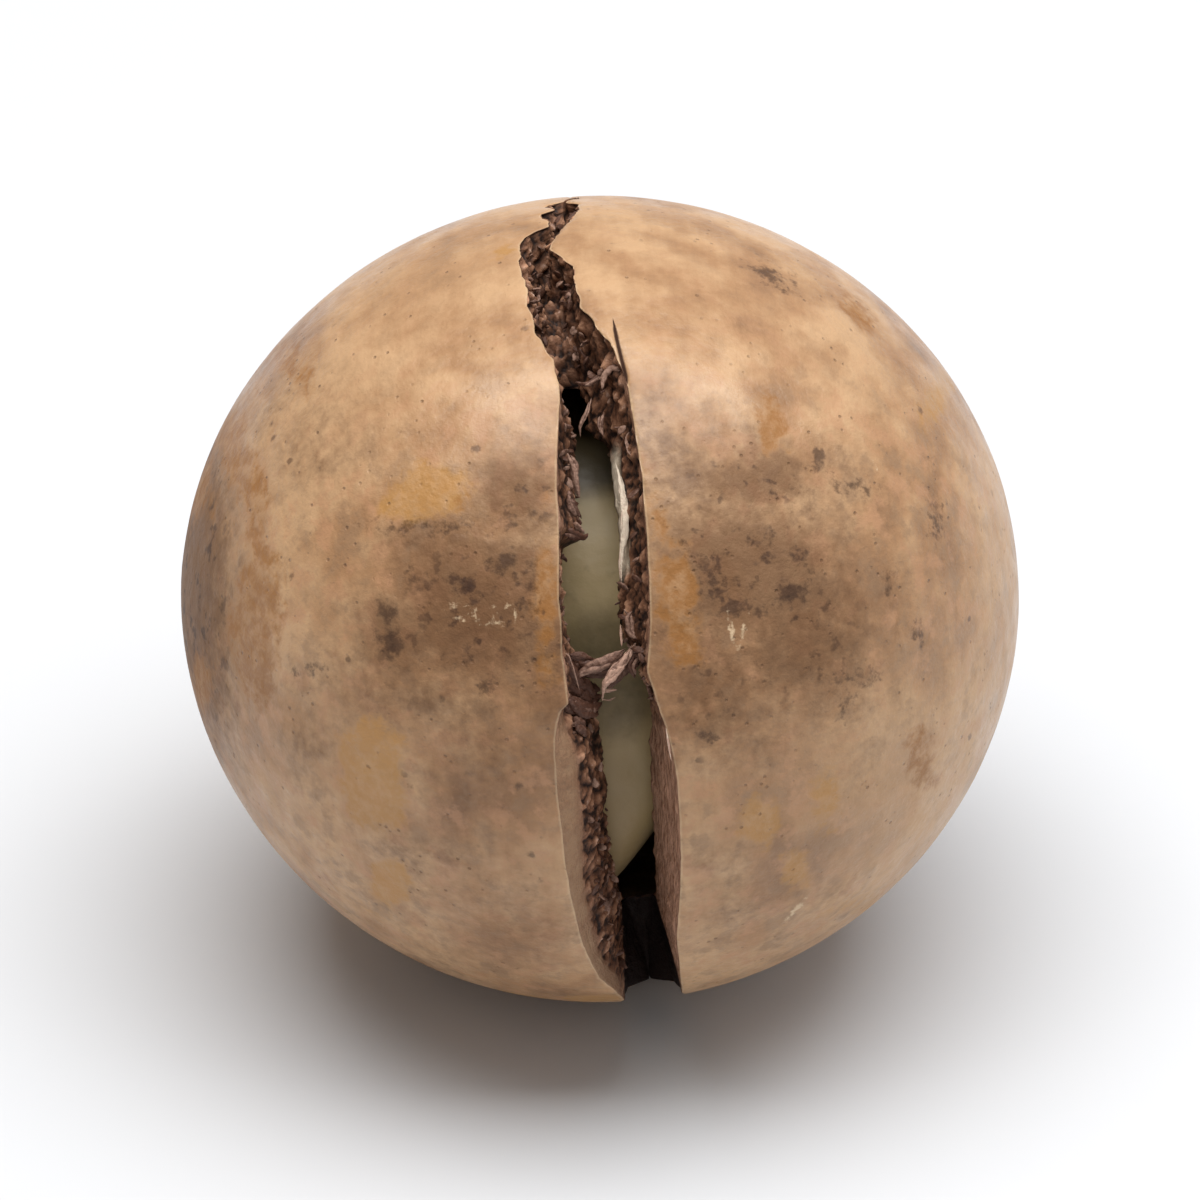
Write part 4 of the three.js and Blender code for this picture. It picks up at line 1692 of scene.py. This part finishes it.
    def _settle(self, points: Array) -> Array:
        """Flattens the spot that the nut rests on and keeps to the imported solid's box."""
        points = points.copy()
        points[:, 2] = np.maximum(points[:, 2], 0.0)
        return fitted(points, "shell")


def fitted(points: Array, node: str) -> Array:
    """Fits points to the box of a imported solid.

    Args:
        points: Places in millimetres.
        node: The solid's node.

    Returns:
        The points, moved and scaled to the box.
    """
    low, high = (np.array(corner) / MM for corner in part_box(node))
    mine_low, mine_high = points.min(axis=0), points.max(axis=0)
    return low + (points - mine_low) * (high - low) / (mine_high - mine_low)


def drop_loose_points(piece: bpy.types.Object) -> None:
    """Removes points that no face uses.

    Args:
        piece: The mesh object.
    """
    work = bmesh.new()
    work.from_mesh(piece.data)
    loose = [vertex for vertex in work.verts if not vertex.link_faces]
    bmesh.ops.delete(work, geom=loose, context="VERTS")
    work.to_mesh(piece.data)
    work.free()


def round_ball(subdivisions: int) -> tuple[Array, list[list[int]]]:
    """Makes a ball of even triangles.

    Args:
        subdivisions: How many times its faces are split.

    Returns:
        The points, 1 from the middle, and the corners of each face.
    """
    ball = bmesh.new()
    bmesh.ops.create_icosphere(ball, subdivisions=subdivisions, radius=1.0)
    points = np.array([vertex.co[:] for vertex in ball.verts])
    faces = [[vertex.index for vertex in face.verts] for face in ball.faces]
    ball.free()
    return points, faces


@dataclass
class Kernel:
    """The kernel: a slightly flattened ball with a soft-edged flat base on its lower right."""

    form: NutForm
    width: float = 17.2
    depth: float = 17.0
    height: float = 16.8
    gap: float = 0.3
    base_right: float = 0.81
    base_rise: float = -0.585
    base_distance: float = 5.15
    base_soft: float = 0.4
    # Painted shade darkens the kernel's top, round crown_angle, and a band round pinch_angle, below
    # the strands.
    crown_angle: float = 75.0
    pinch_angle: float = -10.0
    subdivisions: int = 6
    grit: Grit = field(default_factory=lambda: Grit(29))

    def build(self, finish: bpy.types.Material) -> bpy.types.Object:
        """Makes the kernel.

        Args:
            finish: Its material.

        Returns:
            The kernel's object.
        """
        points, faces = round_ball(self.subdivisions)
        way = unit(points)
        half = np.array([self.width, self.depth, self.height]) / 2
        plain = 1 / np.linalg.norm(way / half, axis=1)
        base = unit(self.base_right * self.form.sideways + self.base_rise * self.form.upright)
        towards = np.maximum(way @ base, 1e-3)
        flat = self.base_distance / towards
        soft = self.base_soft
        radius = plain - soft * np.log1p(np.exp(np.clip((plain - flat) / soft, -40, 40)))
        waves = 0.05 * self.grit.layered(way * radius[:, None], 4.0, 2)
        waves -= 0.04 * ease(self.grit.layered(way * radius[:, None] + 50, 1.6, 3), 0.1, 0.6)
        drop = self.form.height / 2 - self.form.wall - self.height / 2 - self.gap
        centre = self.form.centre - np.array([0.0, 0.0, drop])
        crown, pinch = (
            self.form.direction(np.array(angle), np.array(0.0))
            for angle in (self.crown_angle, self.pinch_angle)
        )
        # Painted shade: the kernel's top and a band near the strands.
        covered = np.maximum(ease(way @ crown, 0.63, 0.77), 0.7 * ease(way @ pinch, 0.94, 0.997))
        maker = MeshMaker(["base", "low", "covered"])
        maker.add(
            centre + way * (radius + np.minimum(waves, 0.0))[:, None],
            base=ease(plain - radius, 0.1, 0.8),
            low=ease(way @ base, 0.0, 0.42),
            covered=covered,
        )
        for corners in faces:
            maker.face(corners, 0)
        return maker.build("kernel_flesh", [finish], lambda points: fitted(points, "kernel"))


@dataclass(frozen=True)
class Strand:
    """A torn strand that runs through places given as right, up and depth under the skin."""

    path: tuple[tuple[float, float, float], ...]
    radius: tuple[float, ...]
    tone: float
    threads: int


@dataclass
class Fibres:
    """What still crosses the slit, and the crumbs that cling to its walls."""

    form: NutForm
    slit: Slit
    strands: tuple[Strand, ...] = (
        Strand(((-1.2, -1.9, 0.9), (-0.95, -2.5, 1.3), (-0.5, -2.9, 1.8), (0.1, -2.9, 2.2)),
               (0.3, 0.34, 0.34, 0.22), -0.15, 14),
        Strand(((-1.25, -2.9, 0.8), (-0.8, -3.25, 1.2), (-0.3, -3.4, 1.7), (0.05, -3.2, 2.1)),
               (0.26, 0.3, 0.26, 0.14), 0.12, 12),
        Strand(((-0.9, -3.7, 0.9), (-0.6, -3.9, 1.2), (-0.4, -4.3, 1.5)),
               (0.22, 0.24, 0.12), 0.2, 7),
        Strand(((-0.85, -2.45, 1.3), (-0.6, -2.25, 1.2), (-0.3, -2.05, 1.2), (0.1, -1.95, 1.2),
                (0.45, -1.8, 1.3), (0.8, -1.55, 1.4)),
               (0.05, 0.12, 0.17, 0.19, 0.16, 0.12), 0.42, 16),
        Strand(((1.05, -1.3, 1.3), (0.75, -1.9, 1.1), (0.4, -2.22, 1.0), (0.17, -2.52, 1.0),
                (0.09, -2.8, 1.1), (0.06, -3.15, 1.3)),
               (0.12, 0.17, 0.15, 0.1, 0.07, 0.04), 0.55, 16),
        Strand(((0.95, -1.5, 1.6), (0.8, -2.0, 1.5), (0.45, -2.5, 1.5), (0.25, -2.75, 1.6)),
               (0.16, 0.2, 0.18, 0.08), 0.2, 10),
        Strand(((0.1, -2.82, 1.1), (0.32, -2.8, 1.2), (0.55, -2.78, 1.4)),
               (0.05, 0.06, 0.03), 0.7, 3),
        Strand(((0.07, -3.1, 1.3), (0.28, -3.12, 1.5), (0.5, -3.0, 1.7)),
               (0.04, 0.04, 0.02), 0.5, 2),
        Strand(((0.63, -0.75, 1.5), (0.66, -1.1, 1.3), (0.7, -1.55, 1.3)),
               (0.04, 0.06, 0.04), 0.7, 3),
        Strand(((-1.15, -1.6, 0.3), (-0.97, -1.72, 0.4), (-0.8, -2.3, 0.7), (-0.65, -2.8, 1.0)),
               (0.04, 0.045, 0.05, 0.03), 0.5, 3),
        Strand(((0.48, 4.25, 2.3), (0.6, 3.85, 2.1), (0.7, 3.35, 2.0), (0.78, 2.75, 1.9),
                (0.75, 2.25, 2.0), (0.72, 1.75, 2.1), (0.62, 1.15, 2.2), (0.65, 0.45, 2.4)),
               (0.06, 0.14, 0.19, 0.22, 0.18, 0.14, 0.1, 0.05), 1.75, 5),
        Strand(((1.98, -3.75, 0.06), (2.1, -4.2, 0.05), (2.17, -4.7, 0.07), (2.25, -5.2, 0.1)),
               (0.03, 0.07, 0.06, 0.02), 1.3, 2),
        Strand(((1.1, -0.2, 1.2), (0.85, -0.5, 1.1), (0.9, -1.0, 1.1), (1.15, -1.2, 1.0)),
               (0.08, 0.14, 0.13, 0.08), 0.35, 4),
        Strand(((1.2, -1.7, 1.2), (1.0, -2.1, 1.2), (1.15, -2.5, 1.2)), (0.12, 0.16, 0.1), 0.08, 4),
        Strand(((-0.3, 6.3, 1.3), (-0.42, 5.85, 1.4), (-0.62, 5.4, 1.6), (-0.6, 5.05, 1.8)),
               (0.05, 0.09, 0.08, 0.03), 0.42, 4),
        Strand(((-0.8, 6.8, 1.2), (-0.4, 6.7, 1.1), (-0.1, 6.9, 1.1), (0.15, 7.2, 1.0)),
               (0.06, 0.1, 0.1, 0.08), 0.35, 4),
        Strand(((0.05, 5.9, 1.8), (0.0, 5.5, 1.8), (0.08, 5.0, 2.0)), (0.08, 0.1, 0.05), 0.3, 3),
        Strand(((0.1, 6.4, 1.0), (0.15, 6.95, 0.75), (0.42, 7.2, 0.6), (0.75, 7.15, 0.4)),
               (0.1, 0.15, 0.15, 0.1), 0.38, 6),
        Strand(((0.95, 5.3, 0.9), (0.8, 5.0, 1.0), (0.9, 4.6, 1.0), (1.1, 4.4, 0.9)),
               (0.05, 0.08, 0.08, 0.04), 0.45, 3),
        Strand(((-1.0, 4.6, 0.7), (-0.8, 4.2, 0.9), (-0.72, 3.6, 1.2), (-0.6, 3.1, 1.5)),
               (0.1, 0.16, 0.12, 0.08), 0.38, 6),
        Strand(((-1.0, 3.4, 0.6), (-0.85, 2.9, 0.9), (-0.62, 2.5, 1.3)), (0.12, 0.16, 0.1), 0.3, 5),
        Strand(((-1.1, 2.1, 0.7), (-0.8, 1.95, 1.0), (-0.52, 1.92, 1.3), (-0.36, 2.05, 1.5)),
               (0.16, 0.15, 0.13, 0.1), 0.12, 9),
        Strand(((-1.05, -1.85, 1.9), (-0.4, -2.1, 1.8), (0.2, -2.15, 1.8), (0.8, -2.0, 1.8),
                (1.35, -1.75, 1.8)), (0.3, 0.27, 0.25, 0.27, 0.3), -0.02, 22),
        Strand(((-1.0, -1.75, 1.0), (-0.6, -1.75, 1.2), (-0.2, -1.85, 1.4)),
               (0.14, 0.16, 0.1), 0.1, 8),
    )
    wildness: float = 0.5
    crumb_count: int = 300
    crumb_span: tuple[float, float] = (-80.0, 78.0)
    crumb_sizes: tuple[float, float] = (0.05, 0.15)
    sides: int = 8
    steps: int = 30
    seed: int = 41

    def _strand(
        self, maker: MeshMaker, strand: Strand, grit: Grit, draw: np.random.Generator
    ) -> None:
        """Adds one strand, as threads that stray from its path.

        Args:
            maker: Collects the mesh.
            strand: The strand.
            grit: Roughness.
            draw: Makes each thread differ.
        """
        share = np.linspace(0, 1, self.steps + 1)
        knots = np.linspace(0, 1, len(strand.path))
        seen = np.stack([np.interp(share, knots, part) for part in zip(*strand.path)], axis=1)
        line = self.form.seen(seen[:, 0], seen[:, 1], seen[:, 2])
        for _ in range(4):
            line[1:-1] = (line[:-2] + 2 * line[1:-1] + line[2:]) / 4
        band = np.interp(share, knots, strand.radius)[:, None]
        for number in range(strand.threads):
            start, end = draw.uniform(0, 0.25), draw.uniform(0.75, 1)
            inside = np.clip(start + (end - start) * share, 0, 1)
            own = np.stack([np.interp(inside, share, part) for part in line.T], axis=1)
            away = draw.normal(size=3)
            away = away - (away @ self.form.facing) * self.form.facing * 0.5
            size = 0.75 * draw.random() ** 0.5
            shifted = [own + 9.0 * k + 5.0 * number for k in range(3)]
            lump = np.stack([grit.layered(points, 0.8, 3) for points in shifted], axis=1)
            own = own + band * (size * unit(away) + self.wildness * lump)
            thick = band[:, 0] * draw.uniform(0.32, 0.6)
            taper = np.minimum(1.0, np.minimum(share, 1 - share) * 7 + 0.25)
            self._thread(maker, own, thick * taper, strand.tone + draw.normal() * 0.13, grit)

    def _thread(
        self, maker: MeshMaker, line: Array, radius: Array, tone: float, grit: Grit
    ) -> None:
        """Adds one thread as a closed tube.

        Args:
            maker: Collects the mesh.
            line: Its middle line.
            radius: Its radius along that.
            tone: Its colour, from dark to pale.
            grit: Roughness.
        """
        heading = unit(np.gradient(line, axis=0))
        first = unit(np.cross(heading, self.form.facing + 0.01))
        second = np.cross(heading, first)
        around = np.linspace(0, 2 * math.pi, self.sides, endpoint=False)
        rings = []
        for k in range(len(line)):
            spoke = np.cos(around)[:, None] * first[k] + 0.6 * np.sin(around)[:, None] * second[k]
            ring = line[k] + spoke * radius[k]
            swell = 1 + 0.5 * grit.layered(ring, 0.14, 2)
            rings.append(maker.add(line[k] + spoke * (radius[k] * swell)[:, None], tone=tone))
        for near, far in zip(rings, rings[1:]):
            maker.strip(near, far, 0, True)
        for k, ring in ((0, rings[0]), (-1, rings[-1])):
            tip = maker.add(line[k][None], tone=tone)
            maker.fan(int(tip[0]), [*ring, ring[0]], 0)

    def _crumb(self, maker: MeshMaker, centre: Array, size: float, tone: float, grit: Grit) -> None:
        """Adds one crumb.

        Args:
            maker: Collects the mesh.
            centre: Where it is.
            size: Its rough radius.
            tone: Its colour, from dark to pale.
            grit: Roughness.
        """
        way, faces = round_ball(2)
        rough = 1 + 0.8 * grit.layered(way * 0.8 + centre * 7, 0.9, 2)
        squash = unit(np.sin(centre * 40.0) + 0.1)
        stretch = unit(np.cross(squash, np.cos(centre * 60.0) + 0.1))
        shape = way - 0.65 * np.outer(way @ squash, squash) + 0.8 * np.outer(way @ stretch, stretch)
        numbers = maker.add(centre + shape * rough[:, None] * size, tone=tone)
        for corners in faces:
            maker.face([int(numbers[c]) for c in corners], 0)

    def build(self, finish: bpy.types.Material) -> bpy.types.Object:
        """Makes the fibres and crumbs.

        Args:
            finish: Their material.

        Returns:
            Their object.
        """
        grit = Grit(self.seed)
        draw = np.random.default_rng(self.seed)
        maker = MeshMaker(["tone"])
        for strand in self.strands:
            self._strand(maker, strand, grit, draw)
        self._scatter(maker, grit, draw)
        return maker.build("slit_fibres", [finish])

    def _scatter(self, maker: MeshMaker, grit: Grit, draw: np.random.Generator) -> None:
        """Scatters crumbs over the broken parts of the walls.

        Args:
            maker: Collects the mesh.
            grit: Roughness.
            draw: Makes each crumb differ.
        """
        for _ in range(self.crumb_count):
            angle = draw.uniform(*self.crumb_span)
            side = Side.LEFT if draw.random() < 0.5 else Side.RIGHT
            share = draw.uniform(0.25, 0.95)
            size = draw.uniform(*self.crumb_sizes)
            tone = 0.05 + 0.55 * draw.random() ** 2
            edges = self.slit.edges(np.array([angle]))
            is_right = side is Side.RIGHT
            lip, deep = (edges[1], edges[3]) if is_right else (edges[0], edges[2])
            if angle < -18 and (is_right or share < 0.35):
                continue
            if is_right and 2 < angle < 34 and share > 0.45:
                continue
            offset = lip + (deep - lip) * share**0.7
            cut = along(self.slit.cut, np.array([angle]))
            centre = self.form.place(np.array([angle]), offset, self.form.wall * cut * share)[0]
            self._crumb(maker, centre, size, tone, grit)


@dataclass
class HilumScar:
    """The rough oval scar at the back, where the nut hung.

    Its rings run past its edge, so that it sinks into the skin.
    """

    form: NutForm
    width: float = 4.2
    length: float = 5.0
    rise: float = 0.32
    sunk: float = 0.7
    overreach: float = 1.12
    wobble: float = 0.07
    around: int = 120
    rings: int = 34
    grit: Grit = field(default_factory=lambda: Grit(53))

    def build(self, finish: bpy.types.Material) -> bpy.types.Object:
        """Makes the scar.

        Args:
            finish: Its material.

        Returns:
            The scar's object.
        """
        form = self.form
        out = form.hilum
        turn = np.linspace(0, 2 * math.pi, self.around, endpoint=False)
        maker = MeshMaker(["pit"])
        rows = []
        for k in range(1, self.rings + 1):
            share = self.overreach * k / self.rings
            uneven = 1 + self.wobble * self.grit.layered(
                np.stack([np.cos(turn), np.sin(turn), np.full_like(turn, 4.0)], axis=1), 0.6, 3
            )
            x = np.cos(turn) * share * self.width / 2 * uneven
            y = np.sin(turn) * share * self.length / 2 * uneven
            rows.append(self._row(maker, x, y, share))
        top = self._row(maker, np.zeros(1), np.zeros(1), 0.0)
        under = maker.add((form.centre + out * (form.skin(out[None])[0] - self.sunk))[None])
        for near, far in zip(rows, rows[1:]):
            maker.strip(near, far, 0, True)
        maker.fan(int(top[0]), [*rows[0], rows[0][0]], 0)
        maker.fan(int(under[0]), [*rows[-1], rows[-1][0]], 0)
        return maker.build("hilum_scar", [finish])

    def _row(self, maker: MeshMaker, x: Array, y: Array, share: float) -> Array:
        """Adds points of the scar's face.

        Args:
            maker: Collects the mesh.
            x: Distances across the scar.
            y: Distances along it.
            share: How far towards its edge.

        Returns:
            Point numbers.
        """
        form, out = self.form, self.form.hilum
        long = unit(np.cross(form.across, out))
        wide = np.cross(out, long)
        way = unit(out * form.radius + x[:, None] * wide + y[:, None] * long)
        flat = way * form.radius
        rough = self.grit.layered(flat, 0.7, 4)
        crumb = self.grit.crumbs(flat + 0.2 * rough[:, None], 0.34)
        body = float(ease(share, 1.08, 0.74))
        rim = math.exp(-(((share - 0.78) / 0.14) ** 2))
        height = self.rise * body * (0.75 + 0.25 * rim) + 0.1 * body * rough
        height = height + 0.07 * body * (crumb - 0.6) - (1 - body) * 0.25
        height = np.minimum(height, self.rise)
        # Painted shade: the creases between grains and the sunk edge of the scar.
        pit = 0.7 * ease(crumb, 0.25, 0.0) * body + 0.8 * ease(share, 0.84, 1.04)
        return maker.add(form.centre + way * (form.skin(way) + height)[:, None], pit=pit)


@dataclass
class Studio:
    """The floor, the lights and the camera. Lengths are in metres."""

    form: NutForm
    distance: float = 0.56
    nut_share: float = 0.7
    sensor: float = 36.0
    floor_half: float = 3.0
    box_width: float = 0.5
    box_depth: float = 0.3
    box_distance: float = 0.42
    box_elevation: float = math.radians(90)
    box_right: float = math.radians(3)
    box_power: float = 2.7
    sky: float = 0.42
    sky_left: Colour = (0.5, 0.4, 0.31)
    sky_right: Colour = (0.97, 1.0, 1.04)
    sky_turn: tuple[float, float] = (-0.9, 0.5)
    near_limit: float = 0.01

    def set_floor(self, finish: bpy.types.Material) -> None:
        """Lays the floor.

        Args:
            finish: Its material.
        """
        half = self.floor_half
        mesh = bpy.data.meshes.new("floor")
        corners = [(-half, -half, 0), (half, -half, 0), (half, half, 0), (-half, half, 0)]
        mesh.from_pydata(corners, [], [(0, 1, 2, 3)])
        mesh.materials.append(finish)
        floor = bpy.data.objects.new("floor", mesh)
        bpy.context.scene.collection.objects.link(floor)

    def set_lights(self) -> None:
        """Hangs a softbox above and fills the room with pale light."""
        middle = self.form.centre * MM
        lamp = bpy.data.lights.new("softbox", "AREA")
        lamp.shape = "RECTANGLE"
        lamp.size, lamp.size_y = self.box_depth, self.box_width
        lamp.energy = self.box_power
        way = np.array([0.0, -math.cos(self.box_elevation), math.sin(self.box_elevation)])
        way = unit(way + math.tan(self.box_right) * self.form.sideways)
        self._aim("softbox", lamp, middle + way * self.box_distance, middle)
        self._light_room()

    def _light_room(self) -> None:
        """Fills the room with light that is dimmer and warmer from the left."""
        world = bpy.data.worlds.new("room")
        world.use_nodes = True
        nodes, links = world.node_tree.nodes, world.node_tree.links
        light = nodes["Background"]
        light.inputs["Strength"].default_value = self.sky
        where, parts = nodes.new("ShaderNodeTexCoord"), nodes.new("ShaderNodeSeparateXYZ")
        share, tint = nodes.new("ShaderNodeMapRange"), nodes.new("ShaderNodeMix")
        for name, value in zip(("From Min", "From Max"), self.sky_turn):
            share.inputs[name].default_value = value
        tint.data_type = "RGBA"
        tint.inputs[6].default_value = (*self.sky_left, 1.0)
        tint.inputs[7].default_value = (*self.sky_right, 1.0)
        links.new(where.outputs["Generated"], parts.inputs[0])
        links.new(parts.outputs["X"], share.inputs["Value"])
        links.new(share.outputs["Result"], tint.inputs[0])
        links.new(tint.outputs[2], light.inputs["Color"])
        bpy.context.scene.world = world
        bpy.context.scene.view_settings.view_transform = "Standard"

    def set_camera(self) -> None:
        """Places the camera where the photograph was taken from, with a long lens."""
        middle = self.form.centre * MM
        lens = bpy.data.cameras.new("camera")
        lens.sensor_width = self.sensor
        lens.lens = self.distance * self.sensor * self.nut_share / (self.form.width * MM)
        lens.clip_start = self.near_limit
        eye = middle + self.form.facing * self.distance
        bpy.context.scene.camera = self._aim("camera", lens, eye, middle)

    def _aim(self, name: str, data: bpy.types.ID, eye: Array, target: Array) -> bpy.types.Object:
        """Adds a light or camera that looks at a point.

        Args:
            name: Its name.
            data: The light or camera.
            eye: Where it is.
            target: What it looks at.

        Returns:
            The new object.
        """
        thing = bpy.data.objects.new(name, data)
        bpy.context.scene.collection.objects.link(thing)
        thing.location = Vector(eye)
        thing.rotation_euler = Vector(target - eye).to_track_quat("-Z", "Y").to_euler()
        return thing


def attach(piece: bpy.types.Object, node: Optional[str] = None) -> None:
    """Tells the frame what a piece is.

    Args:
        piece: The piece.
        node: The CAD node that it stands for, if any.
    """
    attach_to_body(piece, "root")
    if node:
        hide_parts(node)


def main() -> None:
    """Builds the nut, piece by piece, and its studio."""
    logging.basicConfig(level=logging.INFO, format="%(name)s: %(message)s")
    form = NutForm()
    studio = Studio(form)
    studio.set_camera()
    studio.set_lights()
    studio.set_floor(FloorFinish().make())
    slit = Slit(form)
    finishes = [SkinFinish().make(), BreakFinish().make(), LiningFinish().make()]
    attach(Shell(form, slit).build(finishes), "shell")
    attach(Kernel(form).build(KernelFinish().make()), "kernel")
    attach(Fibres(form, slit).build(FibreFinish().make()))
    attach(HilumScar(form).build(ScarFinish().make()))


if __name__ == "__main__":
    main()
